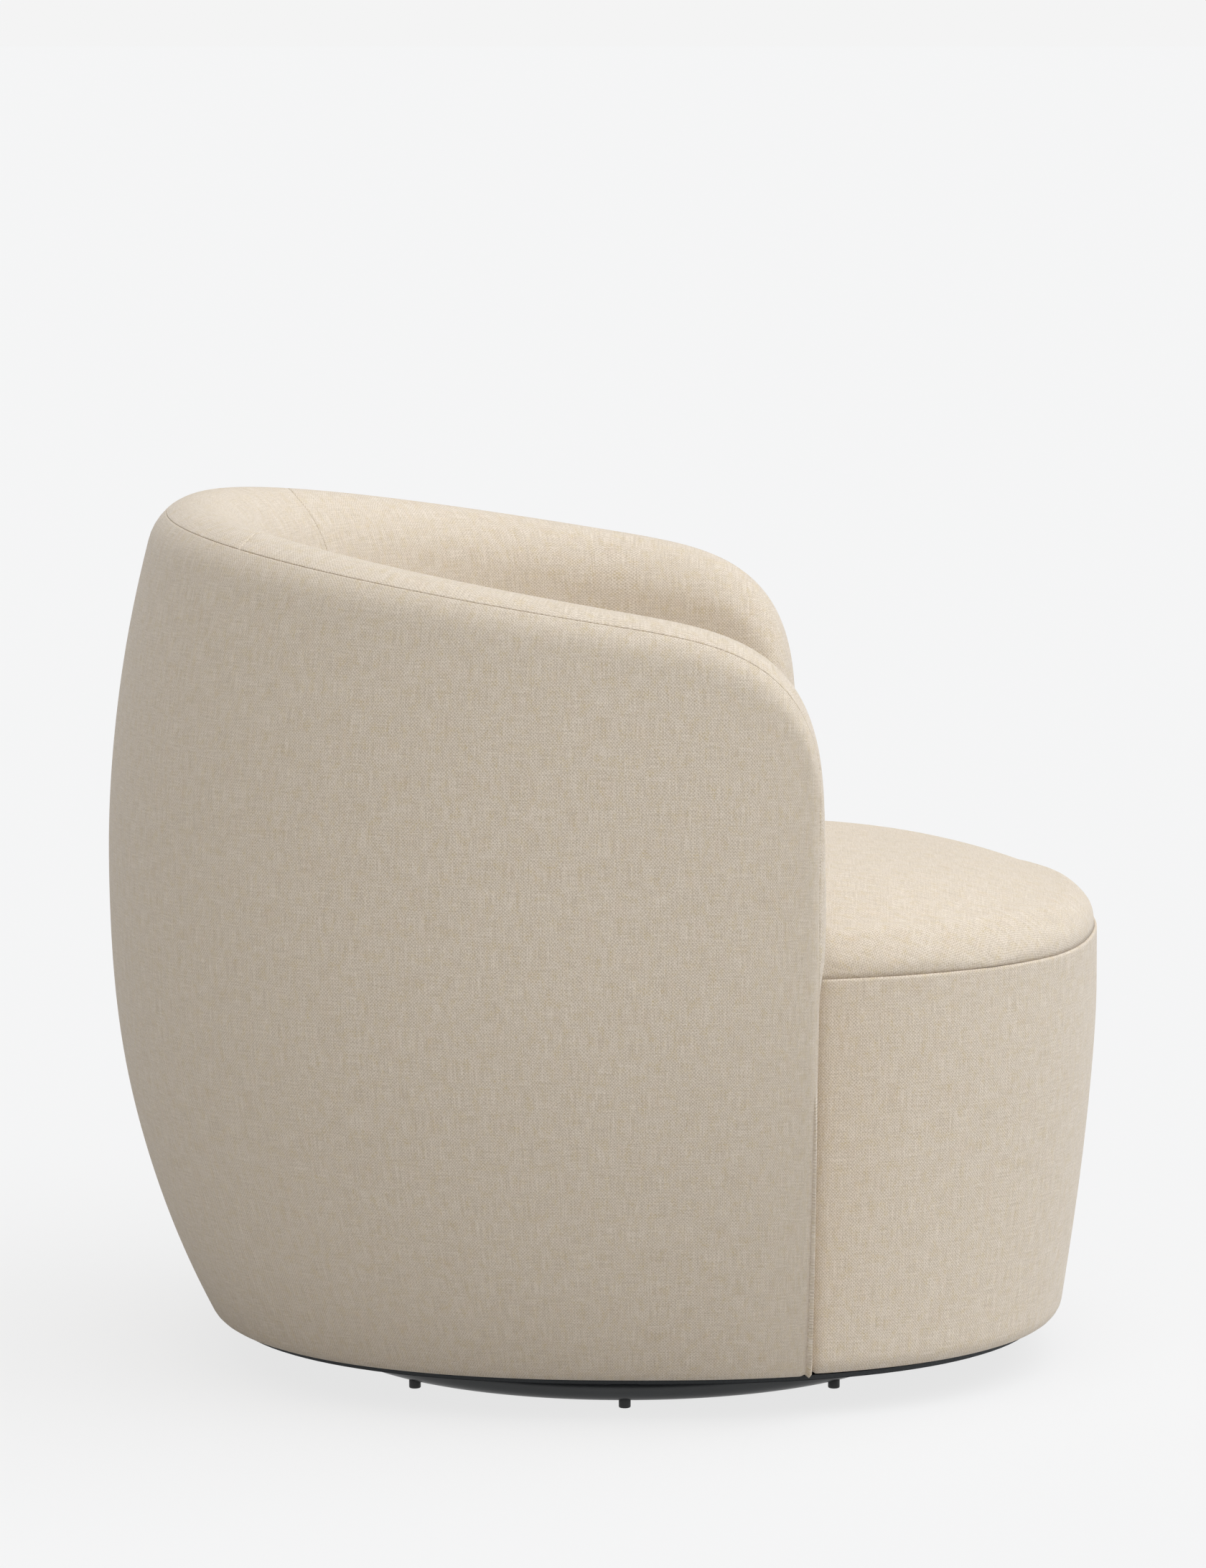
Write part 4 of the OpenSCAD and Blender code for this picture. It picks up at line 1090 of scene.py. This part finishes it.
# %% Place the seat border
border_gap = 0.9
border_run = arm_length - arm_squeeze + border_gap
border_end_radius = 7
border_rows = 46
border_low, border_top = foot_z + seat_hem_radius, seat_seam_z - seam_steps[-1]
border_heights = [border_low - seat_hem_radius * math.cos(math.radians(t)) for t in range(0, 91, 15)]
border_heights += [mix(border_low, border_top, i / border_rows) for i in range(1, border_rows + 1)]
border_heights += [seat_seam_z - s for s in reversed(seam_steps[:-1])]


def border_point(place, z, depth):
    """place is 0 in the middle of the front and 1 or -1 at an arm front."""
    axes = [a - depth for a in seat_axes(z)]
    end_run = border_run - slanted(z)
    end_turn = math.degrees(math.asin((end_run / axes[2]) ** (squareness / 2)))
    turn = -mix(90, end_turn, abs(place))
    run = -plan_point(1, turn, axes)[1] - widest_line_forward - end_run
    rolled = curled(max(0.0, run), max(0.0, border_end_radius - depth))
    return (*plan_point(1 if place >= 0 else -1, turn, (axes[0] - rolled, *axes[1:])), z)


def border_walk(place):
    return border_point(place, seat_full_z, 0)


border_places = both_sides(spaced(border_walk, 0, 1, 7, seam_at_end=True))
border_lengths = measured(border_walk, 0, 1)[1]


def border_place(column, row):
    place, z = border_places[column], border_heights[row]
    depth = seam_dip(seat_seam_z - z, seat_roll)
    point = Vector(border_point(place, z, depth))
    along = math.copysign(run_at(border_lengths, abs(place)), place)
    calm = eased(z - foot_z, 40) * eased(seat_seam_z - z, 40) * eased((1 - abs(place)) * 400, 60)
    point += Vector((point.x, point.y, 0)).normalized() * unevenness(point, 0.5, 100) * calm
    point.z += hem_lift((1 - abs(place)) * border_lengths[-1], point.z) + seam_lift(point)
    return (point, (along, z), 1.0)


border_cloth = turned_out(panel(len(border_places), len(border_heights), border_place), (0, -1, 0.2))
seat_border = finished("seat_border_linen", border_cloth, linen, "chair")
cloth_layers(seat_border, 0)
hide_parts("seat_border")
print("seat border:", len(seat_border.data.polygons), "squares")

# %% [markdown]
# ## The steel ring and its feet
#
# The chair stands on a ring of steel tube, painted satin black, with eight small black glides under
# it. The ring is one circle spun round the swivel's axis, which is how a bender makes it. A full spin
# closes on itself, so it is told to merge its last copy with its first.

# %% Satin black paint
painted = new_finish("satin_black_powder_coat")
place = add_node(painted, "ShaderNodeTexCoord").outputs["Object"]
orange_peel = grained(painted, place, (0.0016,) * 3)
worn = grained(painted, place, (0.03, 0.03, 0.012), 3.0, 0.55)
surfaced(painted, tinted(painted, worn, 0.35, 0.7, "#2a2d2f", "#35393b"), orange_peel, 0.00006,
         {"Roughness": 0.38, "IOR": 1.5, "Coat Weight": 0.25, "Coat Roughness": 0.3})
print("paint: orange peel 1.6 mm across")

# %% Spin the ring
ring_low, ring_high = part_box("base_ring")
tube_radius = (ring_high.z - ring_low.z) / 2
ring_radius = ring_high.x - tube_radius
tube_z = (ring_high.z + ring_low.z) / 2

ring = bmesh.new()
bmesh.ops.create_circle(ring, cap_ends=False, segments=24, radius=tube_radius)
bmesh.ops.rotate(ring, verts=ring.verts, cent=(0, 0, 0), matrix=Matrix.Rotation(math.radians(90), 3, "X"))
bmesh.ops.translate(ring, verts=ring.verts, vec=(ring_radius, 0, tube_z))
bmesh.ops.spin(ring, geom=ring.verts[:] + ring.edges[:], cent=(0, 0, 0), axis=(0, 0, 1),
               angle=math.tau, steps=160, use_merge=True, use_duplicate=False)
bmesh.ops.remove_doubles(ring, verts=ring.verts, dist=0.00001)
bmesh.ops.recalc_face_normals(ring, faces=ring.faces)
for face in ring.faces:
    face.smooth = True
steel_ring = finished("steel_ring", ring, painted, "base")
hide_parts("base_ring")
print("ring radius", round(ring_radius * 1000, 1), "mm, tube", round(tube_radius * 2000, 1), "mm")

# %% [markdown]
# ## The glides
#
# Each glide is a small moulded nylon button pressed into the tube from below. A cylinder with its floor
# rim bevelled is enough, and that radius at the floor rim catches the light as the real one does.

# %% Nylon and the glides
def one_grain_finish(name, dark, pale, grain, low, depth_m, values):
    """A finish whose one grain both mottles its colour and gives it relief.

    The grain is its size in metres along x, y and z, its detail and its roughness.
    """
    finish = new_finish(name)
    place = add_node(finish, "ShaderNodeTexCoord").outputs["Object"]
    pattern = grained(finish, place, *grain)
    surfaced(finish, tinted(finish, pattern, low, 1 - low, dark, pale), pattern, depth_m, values)
    return finish


nylon = one_grain_finish("black_moulded_nylon", "#1d1e1f", "#292a2c", ((0.0007,) * 3, 2.0, 0.6), 0.35,
                         0.00008, {"Roughness": 0.52, "IOR": 1.53})

glide_low, glide_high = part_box("base_glides")
glide_radius = glide_high.x - ring_radius
glide_count = 8
glides = bmesh.new()
for number in range(glide_count):
    turn = math.tau * number / glide_count
    made = bmesh.ops.create_cone(glides, cap_ends=True, cap_tris=False, segments=28,
                                 radius1=glide_radius, radius2=glide_radius,
                                 depth=glide_high.z - glide_low.z)
    bmesh.ops.translate(glides, verts=made["verts"],
                        vec=(ring_radius * math.cos(turn), ring_radius * math.sin(turn),
                             (glide_high.z + glide_low.z) / 2))
rims = [edge for edge in glides.edges
        if all(abs(vert.co.z - glide_low.z) < 1e-6 for vert in edge.verts)]
bmesh.ops.bevel(glides, geom=rims, offset=0.0011, offset_type="OFFSET", segments=4, profile=0.5,
                affect="EDGES", material=-1)
for face in glides.faces:
    face.smooth = abs(face.normal.z) < 0.98
glide_feet = finished("glide_feet", glides, nylon, "base")
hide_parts("base_glides")
print("glides:", round(glide_radius * 2000, 1), "mm across")

# %% [markdown]
# ## Metals of the swivel
#
# The plates are zinc plated, which leaves a faint crystal mottling; the balls are polished; the cage
# is pressed from brass. They sit under the chair and show only from below, so each finish is short.

# %% Zinc, polished steel and brass
def metal_finish(name, dark, pale, roughness, grain_m, rough_change):
    finish = new_finish(name)
    place = add_node(finish, "ShaderNodeTexCoord").outputs["Object"]
    grain = grained(finish, place, (grain_m,) * 3, 3.0, 0.6)
    rough = add_node(finish, "ShaderNodeMapRange",
                     {1: 0.3, 2: 0.7, 3: roughness - rough_change, 4: roughness + rough_change}, {0: grain})
    shader = add_node(finish, "ShaderNodeBsdfPrincipled", {"Metallic": 1.0},
                      {"Base Color": tinted(finish, grain, 0.35, 0.65, dark, pale), "Roughness": rough})
    add_node(finish, "ShaderNodeOutputMaterial", {}, {"Surface": shader})
    return finish


zinc = metal_finish("zinc_plated_steel", "#a9acb0", "#c3c6ca", 0.36, 0.004, 0.06)
polished = metal_finish("polished_ball_steel", "#c4c6c9", "#d2d4d7", 0.12, 0.002, 0.03)
brass = metal_finish("pressed_brass", "#b18f52", "#c7a565", 0.3, 0.003, 0.06)
print("metals:", zinc.name, polished.name, brass.name)

# %% [markdown]
# ## Wood of the frame
#
# Birch plywood is peeled from the log, so its grain runs in long, soft cathedrals along the sheet and
# its cut edge shows the plies as thin stripes. The bent board is thin flax-coloured fibreboard.

# %% Birch plywood and bent board
stacked_bands = 0.314     # the wave's scale for one ply in a metre of height, 2 pi / 20


def wood_finish(name, pale, dark, ply_m, grain_m):
    finish = new_finish(name)
    place = add_node(finish, "ShaderNodeTexCoord").outputs["Object"]
    drift = grained(finish, place, (0.09, 0.6, 0.09))
    fibre = grained(finish, place, (grain_m, grain_m * 30, grain_m), 3.0, 0.6)
    plies = add_node(finish, "ShaderNodeTexWave",
                     {"bands_direction": "Z", "Scale": stacked_bands / ply_m, "Distortion": 0.4},
                     {"Vector": place}).outputs["Fac"]
    colour = tinted(finish, drift, 0.35, 0.65, pale, dark)
    colour = tinted(finish, fibre, 0.4, 0.7, colour, dark, 0.5)
    colour = tinted(finish, plies, 0.6, 1.0, colour, "#8d6c45", 0.22)
    surfaced(finish, colour, fibre, 0.0001, {"Roughness": 0.62, "IOR": 1.5})
    return finish


birch = wood_finish("birch_plywood", "#d8bd92", "#c6a676", 0.0028, 0.0012)
bent_board = wood_finish("bent_fibreboard", "#b79a72", "#a6885f", 0.0016, 0.0008)
print("plies every 2.8 mm on", birch.name)

# %% [markdown]
# ## Cloths under the chair
#
# The bottom panel is a dark hardboard with a fine pressed grain. The dust cover under it is a black
# spun cloth of short fibres, and the seat hangs on elastic webbing, woven in fine slanted paler ribs.

# %% Hardboard, dust cloth and webbing
hardboard = one_grain_finish("dark_hardboard", "#1f2224", "#2b2f32", ((0.0012,) * 3, 3.0, 0.6), 0.35,
                             0.0001, {"Roughness": 0.7, "IOR": 1.5})
dust_cloth = one_grain_finish("spun_dust_cloth", "#17181a", "#25272a", ((0.0008, 0.006, 0.003), 4.0, 0.7),
                              0.3, 0.0002, {"Roughness": 0.95, "IOR": 1.5, "Sheen Weight": 0.2})

slanted_bands = 0.444     # the wave's scale for one rib in a metre across the flat, 2 pi / (10 root 2)
rib_pitch = 0.0025
webbing = new_finish("elastic_webbing")
place = add_node(webbing, "ShaderNodeTexCoord").outputs["Object"]
ribs = add_node(webbing, "ShaderNodeTexWave",
                {"bands_direction": "DIAGONAL", "Scale": slanted_bands / rib_pitch, "Distortion": 0.5},
                {"Vector": place}).outputs["Fac"]
surfaced(webbing, tinted(webbing, ribs, 0.2, 0.8, "#303236", "#4b4e53"), ribs, 0.0003,
         {"Roughness": 0.85, "IOR": 1.5})
print("cloths:", hardboard.name, dust_cloth.name, webbing.name)

# %% [markdown]
# ## Finish every part that stays from the CAD model
#
# The parts that the eye can't see still need their finish, because the chair can be opened up or seen
# from below. Each group of parts gets the material that its maker would use.

# %% Hand the finishes out
finish_of_part = {
    "base_cross": painted, "swivel_lower_plate": zinc, "swivel_upper_plate": zinc,
    "swivel_balls": polished, "swivel_ball_cage": brass, "pivot_pin": zinc, "pivot_washer": zinc,
    "pivot_lock_nut": zinc, "lower_plate_bolts": zinc, "lower_plate_nuts": zinc,
    "upper_plate_screws": zinc, "base_board": birch, "bottom_panel": hardboard,
    "dust_cover": dust_cloth, "shell_ribs": birch, "arm_posts": birch, "top_rail": birch,
    "outer_board": bent_board, "seat_posts": birch, "seat_ring": birch, "front_former": bent_board,
    "webbing_straps": webbing,
}
for part, finish in finish_of_part.items():
    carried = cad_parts[part]
    for slot in carried.material_slots:
        slot.material = finish
print(len(finish_of_part), "parts finished")

# %% [markdown]
# ## The studio
#
# The photograph has a seamless pale backdrop, an even light from all round, a broad light from above,
# and a little more from the chair's front and from the side that faces the camera. Sun lamps with a
# very wide angle light everything evenly and leave soft shadows. The backdrop's colour comes from what
# the camera sees of the floor and the world, and not from more light on the chair.

# %% Floor
backdrop_colour = "#f4f4f4"
floor_mesh = bmesh.new()
bmesh.ops.create_grid(floor_mesh, x_segments=1, y_segments=1, size=150)
floor_data = bpy.data.meshes.new("studio_floor")
floor_mesh.to_mesh(floor_data)
floor_mesh.free()
floor = in_scene("studio_floor", floor_data)


def seen_directly(finish):
    """1 for what the camera sees, also in a reflection, and 0 for light on its way to a surface."""
    rays = add_node(finish, "ShaderNodeLightPath").outputs
    mirrored = add_node(finish, "ShaderNodeMath", {"operation": "MAXIMUM"},
                        {0: rays["Is Glossy Ray"], 1: rays["Is Transmission Ray"]})
    return add_node(finish, "ShaderNodeMath", {"operation": "MAXIMUM"},
                    {0: rays["Is Camera Ray"], 1: mirrored})


paper = new_finish("backdrop_paper")
lit = add_node(paper, "ShaderNodeBsdfDiffuse", {"Color": linear("#d3d3d3")})
glow = add_node(paper, "ShaderNodeEmission", {"Color": linear(backdrop_colour), "Strength": 1.035})
glowing = add_node(paper, "ShaderNodeMath", {"operation": "MULTIPLY", 1: 0.82}, {0: seen_directly(paper)})
plain = add_node(paper, "ShaderNodeMixShader", {}, {0: glowing, 1: lit, 2: glow})
add_node(paper, "ShaderNodeOutputMaterial", {}, {"Surface": plain})
floor_data.materials.append(paper)
print("floor is the colour", backdrop_colour)

# %% World and lamps
world = bpy.data.worlds.new("studio_world")
bpy.context.scene.world = world
world.use_nodes = True
world.node_tree.nodes.clear()
ambient = add_node(world, "ShaderNodeBackground", {"Color": linear("#fffaf2"), "Strength": 0.29})
backdrop = add_node(world, "ShaderNodeBackground", {"Color": linear(backdrop_colour), "Strength": 1.0})
choice = add_node(world, "ShaderNodeMixShader", {},
                  {0: seen_directly(world), 1: ambient, 2: backdrop})
add_node(world, "ShaderNodeOutputWorld", {}, {"Surface": choice})


def sun(name, azimuth, elevation, strength, angle, tint="#f3f8ff"):
    """A sun at an azimuth from +X towards +Y and an elevation, in degrees."""
    lamp_data = bpy.data.lights.new(name, "SUN")
    lamp_data.energy = strength
    lamp_data.color = linear(tint)[:3]
    lamp_data.angle = math.radians(angle)
    lamp = in_scene(name, lamp_data)
    a, e = math.radians(azimuth), math.radians(elevation)
    towards = Vector((math.cos(a) * math.cos(e), math.sin(a) * math.cos(e), math.sin(e)))
    lamp.rotation_euler = towards.to_track_quat("Z", "Y").to_euler()
    print(name, "strength", strength)


sun("overhead_softbox", -100, 70, 2.05, 70)
sun("front_softbox", -95, 32, 0.9, 60)
sun("side_softbox", 180, 60, 0.9, 60, "#fbfcff")
